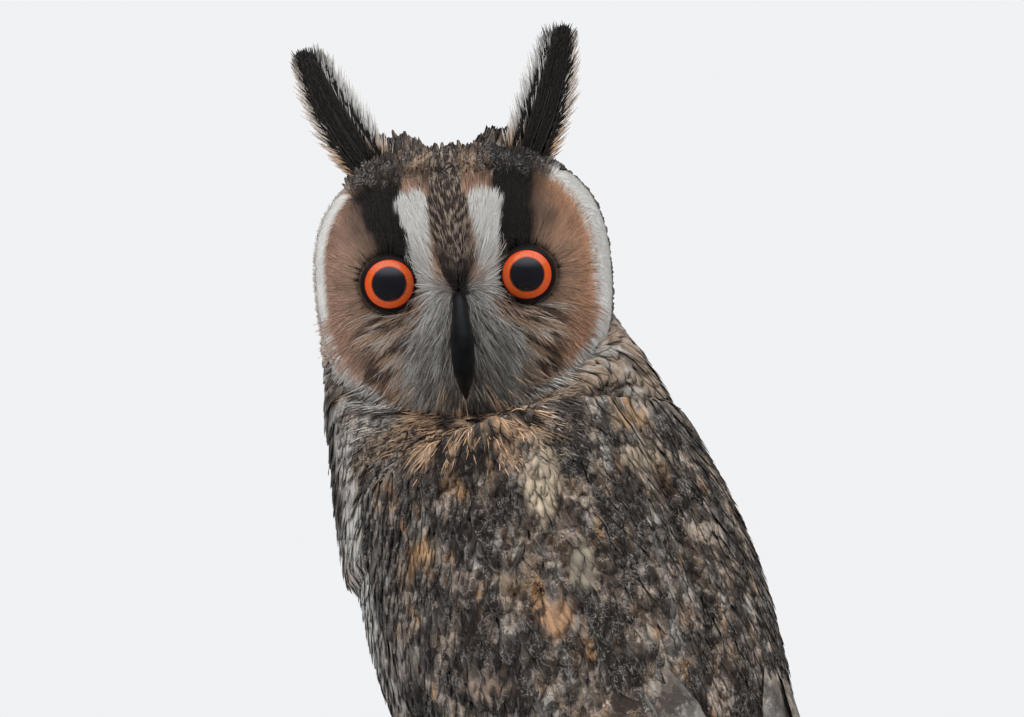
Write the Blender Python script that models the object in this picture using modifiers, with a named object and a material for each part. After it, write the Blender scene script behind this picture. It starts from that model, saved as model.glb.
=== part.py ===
"""A long-eared owl, life size, looking back over its left shoulder from a cut length of branch.

The branch is held by two rods on a round base. The bird's body faces -Y, its left side is +X and +Z
is up. The origin is the middle of the base's underside. Lengths are in metres.
"""

import math

import bmesh
import bpy
import numpy as np
from mathutils import Matrix, Vector

MM = 0.001
GAP = 0.3 * MM  # between pieces that meet

# Stand and branch
BASE_RADIUS = 116 * MM
BASE_THICKNESS = 16 * MM
BASE_EDGE_STEP = 4 * MM
ROD_RADIUS = 4 * MM
ROD_OFFSET = 74 * MM
BRANCH_RADIUS = 15 * MM
BRANCH_LENGTH = 196 * MM
PERCH_TOP = 124 * MM  # top of the branch, where the feet stand

# Body: it leans forward, and is measured along a straight axis through the chest
LEAN = math.radians(26)
CHEST = np.array((0, 4 * MM, PERCH_TOP + 87 * MM))
ACROSS = np.array((1.0, 0.0, 0.0))
ALONG = np.array((0.0, -math.sin(LEAN), math.cos(LEAN)))
BACKWARD = np.array((0.0, math.cos(LEAN), math.sin(LEAN)))

# Rows of (distance along the axis, half width, depth to the breast, depth to the back), in mm
TORSO = np.array(
    [
        (-84, 5, 3, 16),
        (-76, 16, 14, 20),
        (-60, 33, 34, 28),
        (-30, 48, 54, 41),
        (0, 55, 61, 47),
        (28, 57, 62, 50),
        (56, 55, 58, 50),
        (80, 53.5, 54, 49),
    ]
)
WING_BED = np.array(
    [
        (-216, 19, 8, 8.5),
        (-160, 27, 14, 15),
        (-120, 34, 22, 23),
        (-90, 42, 30, 31),
        (-60, 50, 41, 39),
        (-30, 57, 56, 47),
        (0, 60, 62, 51.5),
        (28, 60.5, 62.5, 53),
        (60, 57, 59, 52.5),
        (100, 53, 53, 50),
    ]
)
NECK_BASE = 60 * MM  # where the neck is parted from the torso
NECK_STATIONS = 8
TORSO_STATIONS = 13
BODY_SIDES = 26
COLLAR_RADIUS = 37 * MM  # where the neck enters the head
COLLAR_SLOPE = 0.75  # the collar is low below the face and high behind the head

# Head: it is turned back over the left shoulder, and tilted a little
HEAD_ALONG = 139 * MM
HEAD_TURN = math.radians(135)
HEAD_NOD = math.radians(3)
HEAD_ROLL = math.radians(-4)
FACE_HALF_WIDTH = 45 * MM
FACE_TOP = 39 * MM
FACE_BOTTOM = 44 * MM
FACE_SQUARENESS = 2.6
FACE_FRONT = 25 * MM
RIM_FRONT = 13 * MM
HEAD_BACK = 38 * MM
EYE_RADIUS = 10 * MM
EYE_SPREAD = 21.4 * MM
EYE_FORWARD = 15.5 * MM
LID_OPENING = 7.9 * MM
LID_THICKNESS = 1.3 * MM
RUFF_FEATHERS = 38  # round the facial discs, in two layers
RUFF_SHARES = ((0.80, -1.2), (0.95, 0.5), (1.07, 0.9))  # of the way out, and lift in mm
RUFF_LAYER = 0.85 * MM
RUFF_GAP = math.radians(38)  # either side of the forehead, which has none
TUFT_LENGTH = 42 * MM
TUFT_SPREAD = 25 * MM
TUFT_TILTS = {1: math.radians(22), -1: math.radians(29)}  # the left tuft stands more upright
TUFT_HALF_WIDTH = 5.5  # mm
TUFT_FEATHERS = 9

# Feather vanes
VANE = 0.5 * MM  # thickness
VANE_SHARES = (0, 0.2, 0.5, 0.8, 1.0)  # of the length, where a blade's width is set
VANE_STATIONS = len(VANE_SHARES)


def named_collection(name):
    collection = bpy.data.collections.new(name)
    bpy.context.scene.collection.children.link(collection)
    return collection


def clear_scene():
    for obj in list(bpy.data.objects):
        bpy.data.objects.remove(obj)


def material(name, colour, roughness, metallic=0.0):
    made = bpy.data.materials.new(name)
    made.use_nodes = True
    shader = made.node_tree.nodes["Principled BSDF"]
    shader.inputs["Base Color"].default_value = (*colour, 1.0)
    shader.inputs["Roughness"].default_value = roughness
    shader.inputs["Metallic"].default_value = metallic
    return made


def object_from(name, points, faces, collection):
    """A mesh object from arrays of points and faces, with its faces turned outwards."""
    mesh = bpy.data.meshes.new(name)
    mesh.from_pydata([tuple(p) for p in points], [], [tuple(f) for f in faces])
    mesh.validate()
    obj = bpy.data.objects.new(name, mesh)
    collection.objects.link(obj)
    return obj


def turn_outwards(mesh):
    """Splits a closed mesh into triangles and turns them to point out."""
    work = bmesh.new()
    work.from_mesh(mesh)
    bmesh.ops.triangulate(work, faces=work.faces)
    bmesh.ops.recalc_face_normals(work, faces=work.faces)
    work.to_mesh(mesh)
    work.free()


def evaluated_mesh(obj):
    """The object's mesh with its modifiers applied, in world space."""
    bpy.context.view_layer.update()
    graph = bpy.context.evaluated_depsgraph_get()
    mesh = bpy.data.meshes.new_from_object(obj.evaluated_get(graph))
    mesh.transform(obj.matrix_world)
    return mesh


def keep_largest(mesh):
    """Keeps the mesh's largest closed surface, and drops loose scraps."""
    work = bmesh.new()
    work.from_mesh(mesh)
    left = set(work.verts)
    islands = []
    while left:
        island = {left.pop()}
        edge = list(island)
        while edge:
            found = {e.other_vert(v) for v in edge for e in v.link_edges} - island
            island |= found
            edge = list(found)
        left -= island
        islands.append(island)
    largest = max(islands, key=len)
    bmesh.ops.delete(work, geom=[v for v in work.verts if v not in largest], context="VERTS")
    work.to_mesh(mesh)
    work.free()


def loft(name, rings, collection):
    """A closed tube through rings of equally many points, capped at both ends."""
    rings = np.asarray(rings, float)
    count, around = rings.shape[:2]
    faces = []
    for k in range(count - 1):
        for j in range(around):
            after = (j + 1) % around
            faces.append(
                (k * around + j, k * around + after, (k + 1) * around + after, (k + 1) * around + j)
            )
    faces.append(range(around - 1, -1, -1))
    faces.append(range((count - 1) * around, count * around))
    obj = object_from(name, rings.reshape(-1, 3), faces, collection)
    turn_outwards(obj.data)
    return obj


def inflated(obj, by, collection):
    """A cutter in the shape of obj, larger all round by this much."""
    mesh = evaluated_mesh(obj)
    moved = [v.co + v.normal * by for v in mesh.vertices]
    for vertex, place in zip(mesh.vertices, moved):
        vertex.co = place
    cutter = bpy.data.objects.new(obj.name + "_cutter", mesh)
    cutter.hide_render = True
    cutter.display_type = "WIRE"
    collection.objects.link(cutter)
    return cutter


def fuse(name, pieces, cutters, look, collection, solver="MANIFOLD"):
    """One node from its pieces: their union, less the cutters, as one closed surface."""
    first, others = pieces[0], pieces[1:]
    node = bpy.data.objects.new(name, evaluated_mesh(first))
    collection.objects.link(node)
    joined = named_collection(name + "_pieces")
    for piece in others:
        for holder in list(piece.users_collection):
            holder.objects.unlink(piece)
        joined.objects.link(piece)
    if others:
        union = node.modifiers.new("union", "BOOLEAN")
        union.operation = "UNION"
        union.operand_type = "COLLECTION"
        union.collection = joined
        union.solver = solver
    for cutter in cutters:
        cut = node.modifiers.new("cut", "BOOLEAN")
        cut.operation = "DIFFERENCE"
        cut.object = cutter
        cut.solver = solver
    mesh = evaluated_mesh(node)
    node.modifiers.clear()
    keep_largest(mesh)
    node.data = mesh
    for piece in pieces:
        bpy.data.objects.remove(piece)
    bpy.data.collections.remove(joined)
    finish_look(node, look)
    return node


def finish_look(obj, look, sharp_angle=40):
    obj.data.materials.clear()
    obj.data.materials.append(look)
    obj.data.shade_smooth()
    obj.data.set_sharp_from_angle(angle=math.radians(sharp_angle))


def mirrored(obj, name, look, collection):
    """The same piece on the bird's other side."""
    mesh = obj.data.copy()
    mesh.transform(Matrix.Scale(-1, 4, Vector((1, 0, 0))))
    mesh.flip_normals()
    copy = bpy.data.objects.new(name, mesh)
    collection.objects.link(copy)
    finish_look(copy, look)
    return copy


def body_point(along, across=0.0, depth=0.0):
    return CHEST + ALONG * along + ACROSS * across + BACKWARD * depth


def station(table, along):
    """Half width and the two depths at a place along the axis, by a smooth curve through the rows."""
    places = table[:, 0] * MM
    values = table[:, 1:] * MM
    slopes = np.gradient(values, places, axis=0)
    k = int(np.clip(np.searchsorted(places, along) - 1, 0, len(places) - 2))
    width = places[k + 1] - places[k]
    t = float(np.clip((along - places[k]) / width, 0, 1))
    return (
        values[k] * (2 * t**3 - 3 * t**2 + 1)
        + slopes[k] * width * (t**3 - 2 * t**2 + t)
        + values[k + 1] * (3 * t**2 - 2 * t**3)
        + slopes[k + 1] * width * (t**3 - t**2)
    )


def on_body(table, along, angle):
    """A point on the surface that a table describes. Angle 0 is the back and pi / 2 the left side."""
    half_width, front, back = station(table, along)
    depth = (back if math.cos(angle) > 0 else front) * math.cos(angle)
    return body_point(along, half_width * math.sin(angle), depth)


def lifted(table, along, angle, lift):
    """The same point raised off the surface, and the surface's outward normal there."""
    step_along, step_angle = 1 * MM, math.radians(1)
    place = on_body(table, along, angle)
    up = on_body(table, along + step_along, angle) - on_body(table, along - step_along, angle)
    round_it = on_body(table, along, angle + step_angle) - on_body(table, along, angle - step_angle)
    normal = np.cross(up, round_it)
    normal /= np.linalg.norm(normal)
    return place + normal * lift, normal


def body_rings(table, low, high, count, around, turn=0.0):
    angles = np.arange(around) * 2 * math.pi / around + turn
    return [
        [on_body(table, along, angle) for angle in angles]
        for along in np.linspace(low, high, count)
    ]


def vane(name, path, normals, half_widths, collection, tilt=0.0):
    """One feather: a thin tapered blade along a path, tilted about its shaft as a shingle."""
    path, normals = np.asarray(path), np.asarray(normals)
    tangents = np.gradient(path, axis=0)
    tangents /= np.linalg.norm(tangents, axis=1)[:, None]
    rings = []
    for place, normal, tangent, half in zip(path, normals, tangents, half_widths):
        side = np.cross(tangent, normal)
        side /= np.linalg.norm(side)
        out = np.cross(side, tangent)
        side, out = (
            side * math.cos(tilt) + out * math.sin(tilt),
            out * math.cos(tilt) - side * math.sin(tilt),
        )
        top, bottom = place + out * VANE / 2, place - out * VANE / 2
        rings.append((top - side * half, top + side * half, bottom + side * half, bottom - side * half))
    return blade(name, rings, collection)


def blade(name, rings, collection):
    """A thin closed strip through rings of four corners. Both faces are split along like diagonals."""
    faces = []
    for k in range(len(rings) - 1):
        a, b = 4 * k, 4 * (k + 1)
        faces += [(a, a + 1, b + 1), (a, b + 1, b)]
        faces += [(a + 1, a + 2, b + 2), (a + 1, b + 2, b + 1)]
        faces += [(a + 2, a + 3, b + 2), (a + 3, b + 3, b + 2)]
        faces += [(a + 3, a, b), (a + 3, b, b + 3)]
    end = 4 * (len(rings) - 1)
    faces += [(0, 3, 1), (3, 2, 1), (end, end + 1, end + 3), (end + 3, end + 1, end + 2)]
    obj = object_from(name, np.reshape(rings, (-1, 3)), faces, collection)
    turn_outwards(obj.data)
    return obj


def vane_widths(half_width, root=0.4, tip=0.35):
    """Half widths from root to tip: narrow at the quill, then even, and rounded off at the tip."""
    shape = np.array((root, (1 + root) / 2, 1.0, 0.95, tip))
    return half_width * shape


def between(first, last, t):
    return first + (last - first) * t


# Tiers of wing feathers: count, then (along in mm, angle in degrees) of the first and last root and
# of the first and last tip, then the half width in mm. The first of each tier lies nearest the
# wing's leading edge, and each next one lies over it.
WING_TIERS = {
    "primary": (6, (-40, 94), (-44, 60), (-196, 31), (-150, 24), 6.2),
    "secondary": (5, (-30, 86), (-8, 52), (-132, 38), (-104, 22), 7.8),
    "tertial": (3, (-4, 44), (6, 29), (-98, 21), (-72, 14), 8.5),
    "primary_covert": (3, (-12, 110), (-18, 98), (-54, 95), (-62, 82), 6.0),
    "alula": (2, (12, 118), (8, 111), (-20, 112), (-30, 105), 4.5),
    "greater_covert": (6, (-4, 96), (16, 46), (-44, 80), (-22, 34), 7.4),
    "median_covert": (5, (22, 100), (42, 50), (-12, 90), (8, 40), 8.0),
    "scapular": (5, (48, 62), (68, 22), (-14, 44), (10, 14), 9.0),
}
TIP_PULL = {"primary": 14.0}  # mm: how far the tips in mid tier reach past a straight line
ROOT_DEPTH = 1.3 * MM  # of the quills' ends, under the pad's face
CLEAR = VANE / 2 + GAP  # from the middle of a blade to what lies under it
LEADING_EDGE = ((78, 92), (40, 122), (12, 121), (-30, 108), (-58, 92))
TRAILING_EDGE = ((78, 24), (40, 15), (10, 20), (-30, 36), (-58, 52))
PAD_TOP, PAD_BOTTOM = 78 * MM, -58 * MM
PAD_LIFT = 0.8 * MM
PAD_RIM = -2.6 * MM
DRAPE_PASSES = 40
DRAPE_EASE = 0.4
ROOT_STEPS = 0.88  # stations, over which a blade rises out of the pad and isn't kept clear
PAD_SUNK = -6.5 * MM


def edge_angle(edge, along):
    places, angles = np.array(edge[::-1], float).T
    return math.radians(np.interp(along / MM, places, angles))


def pad_lift(along, angle):
    """Height of the pad's outer face over the bed."""
    lead, trail = edge_angle(LEADING_EDGE, along), edge_angle(TRAILING_EDGE, along)
    v = (PAD_TOP - along) / (PAD_TOP - PAD_BOTTOM)
    t = (angle - lead) / (trail - lead)
    if not (0 < v < 1 and 0 < t < 1):
        return PAD_RIM
    swell = math.sin(math.pi * t) ** 0.3 * math.sin(math.pi * between(0.03, 0.97, v)) ** 0.4
    return between(PAD_RIM, PAD_LIFT, swell)


def wing_pad(collection):
    """The folded arm and hand under the coverts: a slab that swells from its edges to its middle."""
    outer, inner = 10, 5
    rings = []
    for along in np.linspace(PAD_TOP, PAD_BOTTOM, 11):
        lead = edge_angle(LEADING_EDGE, along)
        trail = edge_angle(TRAILING_EDGE, along)
        ring = []
        for angle in np.linspace(lead, trail, outer):
            ring.append(lifted(WING_BED, along, angle, pad_lift(along, angle))[0])
        for t in np.linspace(0.95, 0.05, inner):
            ring.append(lifted(WING_BED, along, between(lead, trail, t), PAD_SUNK - 4 * MM)[0])
        rings.append(ring)
    return loft("wing_pad", rings, collection)


class Cover:
    """A map, by place along the body and angle round it, of how high the wing is built up so far."""

    LOW, HIGH, CELLS = -230 * MM, 90 * MM, (330, 181)

    def __init__(self):
        alongs = np.linspace(self.LOW, self.HIGH, self.CELLS[0])
        angles = np.radians(np.arange(self.CELLS[1]))
        self.top = np.array([[pad_lift(along, angle) for angle in angles] for along in alongs])

    def cell(self, alongs, angles):
        row = (alongs - self.LOW) / (self.HIGH - self.LOW) * (self.CELLS[0] - 1)
        column = np.degrees(angles)
        row = np.clip(np.rint(row), 1, self.CELLS[0] - 2).astype(int)
        return row, np.clip(np.rint(column), 1, self.CELLS[1] - 2).astype(int)

    def height(self, alongs, angles):
        row, column = self.cell(alongs, angles)
        near = [self.top[row + i, column + j] for i in (-1, 0, 1) for j in (-1, 0, 1)]
        return np.max(near, axis=0)

    def add(self, alongs, angles, heights):
        np.maximum.at(self.top, self.cell(alongs, angles), heights)


def blade_grid(corners, lifts, half_widths, radii, along_count, across_count):
    """Points spread over a blade, with the share that each edge point has in each point's lift."""
    rows = []
    for k in range(len(corners) - 1):
        for u in np.linspace(0, 1, along_count):
            for v in np.linspace(0, 1, across_count):
                shares = np.zeros((len(corners), 2))
                shares[k] = (1 - u) * (1 - v), (1 - u) * v
                shares[k + 1] = u * (1 - v), u * v
                half = between(half_widths[k], half_widths[k + 1], u)
                sag = 4 * v * (1 - v) * half**2 / (2 * between(radii[k], radii[k + 1], u))
                rows.append((k + u, shares, sag))
    steps = np.array([row[0] for row in rows])
    shares = np.array([row[1] for row in rows])
    sags = np.array([row[2] for row in rows])
    places = np.einsum("nkv,kvc->nc", shares, corners)
    return steps, shares, sags, places, np.einsum("nkv,kv->n", shares, lifts) - sags


def drape(courses, half_widths, cover):
    """Lays a blade on what is already there: its edges' places, and how high each one lies."""
    courses = np.array(courses)
    radii = np.array([station(WING_BED, along)[0] for along, _ in courses])
    steps = np.gradient(courses, axis=0)
    way = np.column_stack((steps[:, 0], steps[:, 1] * radii))
    way /= np.linalg.norm(way, axis=1)[:, None]
    aside = np.column_stack((-way[:, 1], way[:, 0] / radii)) * np.asarray(half_widths)[:, None]
    corners = np.stack((courses - aside, courses + aside), axis=1)
    lifts = np.full((len(courses), 2), PAD_RIM)
    lifts[0] = [pad_lift(*corner) - ROOT_DEPTH for corner in corners[0]]
    for _ in range(DRAPE_PASSES):
        place_steps, shares, sags, places, heights = blade_grid(
            corners, lifts, half_widths, radii, 10, 7
        )
        short = cover.height(places[:, 0], places[:, 1]) + CLEAR - heights
        short[place_steps < ROOT_STEPS] = 0
        short = np.maximum(short, 0)
        shares[:, 0] = 0
        lifts += DRAPE_EASE * (shares * short[:, None, None]).max(axis=0)
    _, _, _, places, heights = blade_grid(corners, lifts, half_widths, radii, 60, 19)
    cover.add(places[:, 0], places[:, 1], heights + VANE / 2)
    return corners, lifts


def wing_vanes(collection):
    """All the wing's feathers, each draped over the pad and the feathers laid before it."""
    draw = np.random.default_rng(7)
    cover = Cover()
    vanes = []
    for tier, row in WING_TIERS.items():
        count, root_a, root_b, tip_a, tip_b, half_width = row
        for i in range(count):
            t = i / (count - 1)
            root = between(np.array(root_a, float), np.array(root_b, float), t)
            tip = between(np.array(tip_a, float), np.array(tip_b, float), t)
            tip[0] -= TIP_PULL.get(tier, 0.0) * math.sin(math.pi * min(1, t * 1.6))
            tip[0] += draw.uniform(-1.5, 1.5)
            courses = [
                (between(root[0], tip[0], u) * MM, math.radians(between(root[1], tip[1], u**0.85)))
                for u in VANE_SHARES
            ]
            widths = vane_widths(half_width * MM * draw.uniform(0.95, 1.05))
            corners, lifts = drape(courses, widths, cover)
            rings = []
            for (low, high), (low_lift, high_lift) in zip(corners, lifts):
                first, normal = lifted(WING_BED, *low, low_lift)
                last, normal_last = lifted(WING_BED, *high, high_lift)
                half = (normal + normal_last) / np.linalg.norm(normal + normal_last) * VANE / 2
                rings.append((first + half, last + half, last - half, first - half))
            vanes.append(blade(f"{tier}_{i}", rings, collection))
    return vanes


TAIL_PAIRS = 6
TAIL_ROOT = -66 * MM
TAIL_TIP = -206 * MM
TAIL_LAYER = VANE + 1.1 * GAP
TAIL_TILT = math.radians(2)


def tail_pieces(collection):
    """Six pairs of tail feathers, the middle pair on top, and the stump that they grow from."""
    pieces = []
    rings = []
    for t in np.linspace(0, 1, 6):
        along = between(-58 * MM, -92 * MM, t)
        half, thick = between(15, 11, t) * MM, between(12, 5.5, t) * MM
        middle = between(17, 13, t) * MM
        ring = []
        for angle in np.linspace(0, 2 * math.pi, 14, endpoint=False):
            across, depth = half * math.sin(angle), middle + thick * math.cos(angle)
            ring.append(body_point(along, across, depth))
        rings.append(ring)
    pieces.append(loft("stump", rings, collection))
    for i in range(TAIL_PAIRS):
        for side in (1, -1):
            path, normals = [], []
            under = (i + (side < 0)) * TAIL_LAYER
            for u in VANE_SHARES:
                along = between(TAIL_ROOT, TAIL_TIP + i * 1.4 * MM, u)
                across = side * between(2.6 + i * 1.5, 6 + i * 4.2, u**1.2) * MM
                depth = between(16 * MM, 2 * MM, u) - under - 1.2 * MM * i * u
                path.append(body_point(along, across, depth))
                normals.append(BACKWARD)
            widths = vane_widths((6.3 if i == 0 else 8.5) * MM, root=0.35)
            tilt = TAIL_TILT * side
            pieces.append(vane(f"rectrix_{i}_{side}", path, normals, widths, collection, tilt))
    return pieces


def head_matrix():
    turn = Matrix.Rotation(HEAD_TURN, 4, "Z")
    nod = Matrix.Rotation(HEAD_NOD, 4, "X")
    roll = Matrix.Rotation(HEAD_ROLL, 4, "Y")
    return Matrix.Translation(Vector(body_point(HEAD_ALONG))) @ turn @ nod @ roll


def face_outline(angle):
    """Distance of the facial ruff from the middle of the face, in a direction seen from the front."""
    across, up = math.cos(angle), math.sin(angle)
    height = FACE_TOP if up > 0 else FACE_BOTTOM
    power = FACE_SQUARENESS
    reach = (abs(across) / FACE_HALF_WIDTH) ** power + (abs(up) / height) ** power
    return reach ** (-1 / power)


def bell(x, width):
    return math.exp(-((x / width) ** 2))


def face_front(x, z, out):
    """How far the face stands forward: a dished disc round each eye, a raised ruff and a nose ridge."""
    front = between(FACE_FRONT, RIM_FRONT, out**2.2)
    eye = math.hypot(abs(x) - EYE_SPREAD, z)
    front -= 5.5 * MM * bell(eye, 15 * MM)
    ridge = 1 / (1 + math.exp(-(z + 37 * MM) / (3 * MM))) / (1 + math.exp((z - 26 * MM) / (5 * MM)))
    broad = between(6.5 * MM, 10.5 * MM, 1 / (1 + math.exp((z + 14 * MM) / (6 * MM))))
    front += 8.5 * MM * bell(x, broad) * ridge
    front += 2.6 * MM * bell(out - 0.93, 0.06)
    return front


def head_surface(collection):
    """The head with its plumage as one closed surface, in its own frame, facing -Y."""
    around, front_rings, back_rings = 32, 8, 6
    angles = np.arange(around) * 2 * math.pi / around
    points = [(0, -face_front(0, 0, 0), 0)]
    outs = list(np.linspace(0, 1, front_rings + 1)[1:-1]) + [0.93, 1.0]
    outs = sorted(set(np.round(outs, 4)))
    for out in outs:
        for angle in angles:
            reach = face_outline(angle) * out
            x, z = reach * math.cos(angle), reach * math.sin(angle)
            points.append((x, -face_front(x, z, out), z))
    for turn in np.linspace(0, math.pi / 2, back_rings + 1)[1:-1]:
        for angle in angles:
            reach = face_outline(angle) * math.cos(turn) ** 0.8
            bulge = 1 + 0.03 * math.sin(2 * turn)
            x, z = reach * bulge * math.cos(angle), reach * bulge * math.sin(angle)
            points.append((x, -RIM_FRONT + (HEAD_BACK + RIM_FRONT) * math.sin(turn), z))
    points.append((0, HEAD_BACK, 0))
    rings = (len(points) - 2) // around
    faces = [(0, 1 + (j + 1) % around, 1 + j) for j in range(around)]
    for k in range(rings - 1):
        for j in range(around):
            a, b = 1 + k * around, 1 + (k + 1) * around
            after = (j + 1) % around
            faces.append((a + j, a + after, b + after, b + j))
    last, end = 1 + (rings - 1) * around, len(points) - 1
    faces += [(last + j, last + (j + 1) % around, end) for j in range(around)]
    obj = object_from("head_surface", points, faces, collection)
    turn_outwards(obj.data)
    obj.matrix_world = head_matrix()
    return obj


def ruff_vanes(collection):
    """Short stiff feathers that fan out round the rim of the face, every other one on top."""
    vanes = []
    spacing = 2 * math.pi / RUFF_FEATHERS
    half_angle = spacing * 0.62
    to_world = head_matrix()
    for i in range(RUFF_FEATHERS):
        middle = (i + 0.5) * spacing
        if abs(math.remainder(middle - math.pi / 2, 2 * math.pi)) < RUFF_GAP:
            continue
        rings = []
        for (out, lift), share in zip(RUFF_SHARES, (0.45, 1.0, 0.4)):
            raised = lift * MM + RUFF_LAYER * (i % 2) * min(1, out / RUFF_SHARES[1][0]) ** 4
            edges = []
            for angle in (middle - half_angle * share, middle + half_angle * share):
                reach = face_outline(angle) * out
                x, z = reach * math.cos(angle), reach * math.sin(angle)
                front = face_front(x, z, min(out, 0.97)) - 6 * MM * max(0.0, out - 0.95)
                edges.append(np.array((x, -front - raised, z)))
            half = np.array((0, -VANE / 2, 0))
            first, last = edges
            ring = (first + half, last + half, last - half, first - half)
            rings.append([to_world @ Vector(corner) for corner in ring])
        vanes.append(blade(f"ruff_{i}", rings, collection))
    return vanes


def ball(name, place, radius, collection, segments=18, squash=(1, 1, 1)):
    mesh = bpy.data.meshes.new(name)
    work = bmesh.new()
    bmesh.ops.create_uvsphere(work, u_segments=segments, v_segments=segments * 2 // 3, radius=radius)
    work.transform(Matrix.Diagonal((*squash, 1)))
    work.to_mesh(mesh)
    work.free()
    obj = bpy.data.objects.new(name, mesh)
    obj.matrix_world = head_matrix() @ Matrix.Translation(Vector(place))
    collection.objects.link(obj)
    return obj


def eye_place(side):
    return (side * EYE_SPREAD, -EYE_FORWARD, 0)


def lid_ring(name, side, collection):
    """The bare lids' rim, a ring round the opening that the eye shows in."""
    ahead = math.sqrt(EYE_RADIUS**2 - LID_OPENING**2)
    bpy.ops.mesh.primitive_torus_add(
        major_radius=LID_OPENING + LID_THICKNESS * 0.7,
        minor_radius=LID_THICKNESS,
        major_segments=20,
        minor_segments=6,
    )
    ring = bpy.context.object
    ring.name = name
    place = Matrix.Translation(Vector((side * EYE_SPREAD, -EYE_FORWARD - ahead, 0)))
    ring.matrix_world = head_matrix() @ place @ Matrix.Rotation(math.pi / 2, 4, "X")
    for holder in list(ring.users_collection):
        holder.objects.unlink(ring)
    collection.objects.link(ring)
    return ring


def curved_horn(name, path, half_widths, half_depths, to_world, collection, around=10):
    """A tapered, bent tube with an oval section, as a bill or a claw is. The path lies in a Y, Z plane."""
    path = np.asarray(path, float)
    tangents = np.gradient(path, axis=0)
    tangents /= np.linalg.norm(tangents, axis=1)[:, None]
    rings = []
    for place, tangent, half_width, half_depth in zip(path, tangents, half_widths, half_depths):
        side = np.array((1.0, 0.0, 0.0))
        out = np.cross(side, tangent)
        ring = []
        for angle in np.arange(around) * 2 * math.pi / around:
            offset = side * half_width * math.cos(angle) + out * half_depth * math.sin(angle)
            ring.append(to_world @ Vector(place + offset))
        rings.append(ring)
    return loft(name, rings, collection)


def arc_path(points, count):
    """A smooth curve through a few points, by a spline with the ends' own slopes."""
    points = np.asarray(points, float)
    places = np.linspace(0, 1, len(points))
    slopes = np.gradient(points, places, axis=0)
    path = []
    for u in np.linspace(0, 1, count):
        k = min(int(u * (len(points) - 1)), len(points) - 2)
        width = places[k + 1] - places[k]
        t = (u - places[k]) / width
        path.append(
            points[k] * (2 * t**3 - 3 * t**2 + 1)
            + slopes[k] * width * (t**3 - 2 * t**2 + t)
            + points[k + 1] * (3 * t**2 - 2 * t**3)
            + slopes[k + 1] * width * (t**3 - t**2)
        )
    return np.array(path)


def bill_piece(name, path, widths, depths, cutters, look, helpers, collection):
    count = 10
    steps = np.linspace(0, 1, len(widths))
    wanted = np.linspace(0, 1, count)
    horn = curved_horn(
        name + "_horn",
        arc_path(np.array(path) * MM, count),
        np.interp(wanted, steps, widths) * MM,
        np.interp(wanted, steps, depths) * MM,
        head_matrix(),
        helpers,
    )
    return fuse(name, [horn], cutters, look, collection)


def build_head(looks, helpers, collection):
    surface = head_surface(helpers)
    head_cutter = inflated(surface, GAP, helpers)
    bill_path = [(0, -26, -2), (0, -32, -9), (0, -35.5, -19), (0, -35.5, -29), (0, -33, -37)]
    upper = bill_piece(
        "bill_upper",
        bill_path,
        (2.6, 3.6, 4.0, 2.9, 0.5),
        (3.0, 5.0, 5.4, 3.6, 0.5),
        [head_cutter]
        + [
            ball("nostril_cutter", (side * 4.3 * MM, -34.6 * MM, -12 * MM), 1.3 * MM, helpers, 8)
            for side in (1, -1)
        ],
        looks["horn"],
        helpers,
        collection,
    )
    upper_cutter = inflated(upper, GAP, helpers)
    bill_piece(
        "bill_lower",
        [(0, -20, -18), (0, -26, -25), (0, -29, -30), (0, -30.4, -34)],
        (3.0, 3.2, 2.6, 1.0),
        (3.0, 2.6, 2.0, 0.9),
        [head_cutter, upper_cutter],
        looks["horn"],
        helpers,
        collection,
    )
    lower_cutter = inflated(collection.objects["bill_lower"], GAP, helpers)
    lids, eye_cutters = [], []
    for side, name in ((1, "eye_left"), (-1, "eye_right")):
        eye = ball(name, eye_place(side), EYE_RADIUS, collection)
        finish_look(eye, looks["eye"])
        eye_cutters.append(ball(name + "_cutter", eye_place(side), EYE_RADIUS + GAP, helpers))
        lids.append(lid_ring(name + "_lid", side, helpers))
    neck = loft("neck_loft", neck_rings(BODY_SIDES), helpers)
    neck = fuse("neck", [neck], [head_cutter], looks["brown"], collection)
    pieces = [surface] + lids + ruff_vanes(helpers)
    cutters = eye_cutters + [upper_cutter, lower_cutter, inflated(neck, 0.6 * GAP, helpers)]
    fuse("head", pieces, cutters, looks["buff"], collection)
    return head_cutter, inflated(neck, GAP, helpers)


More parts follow.
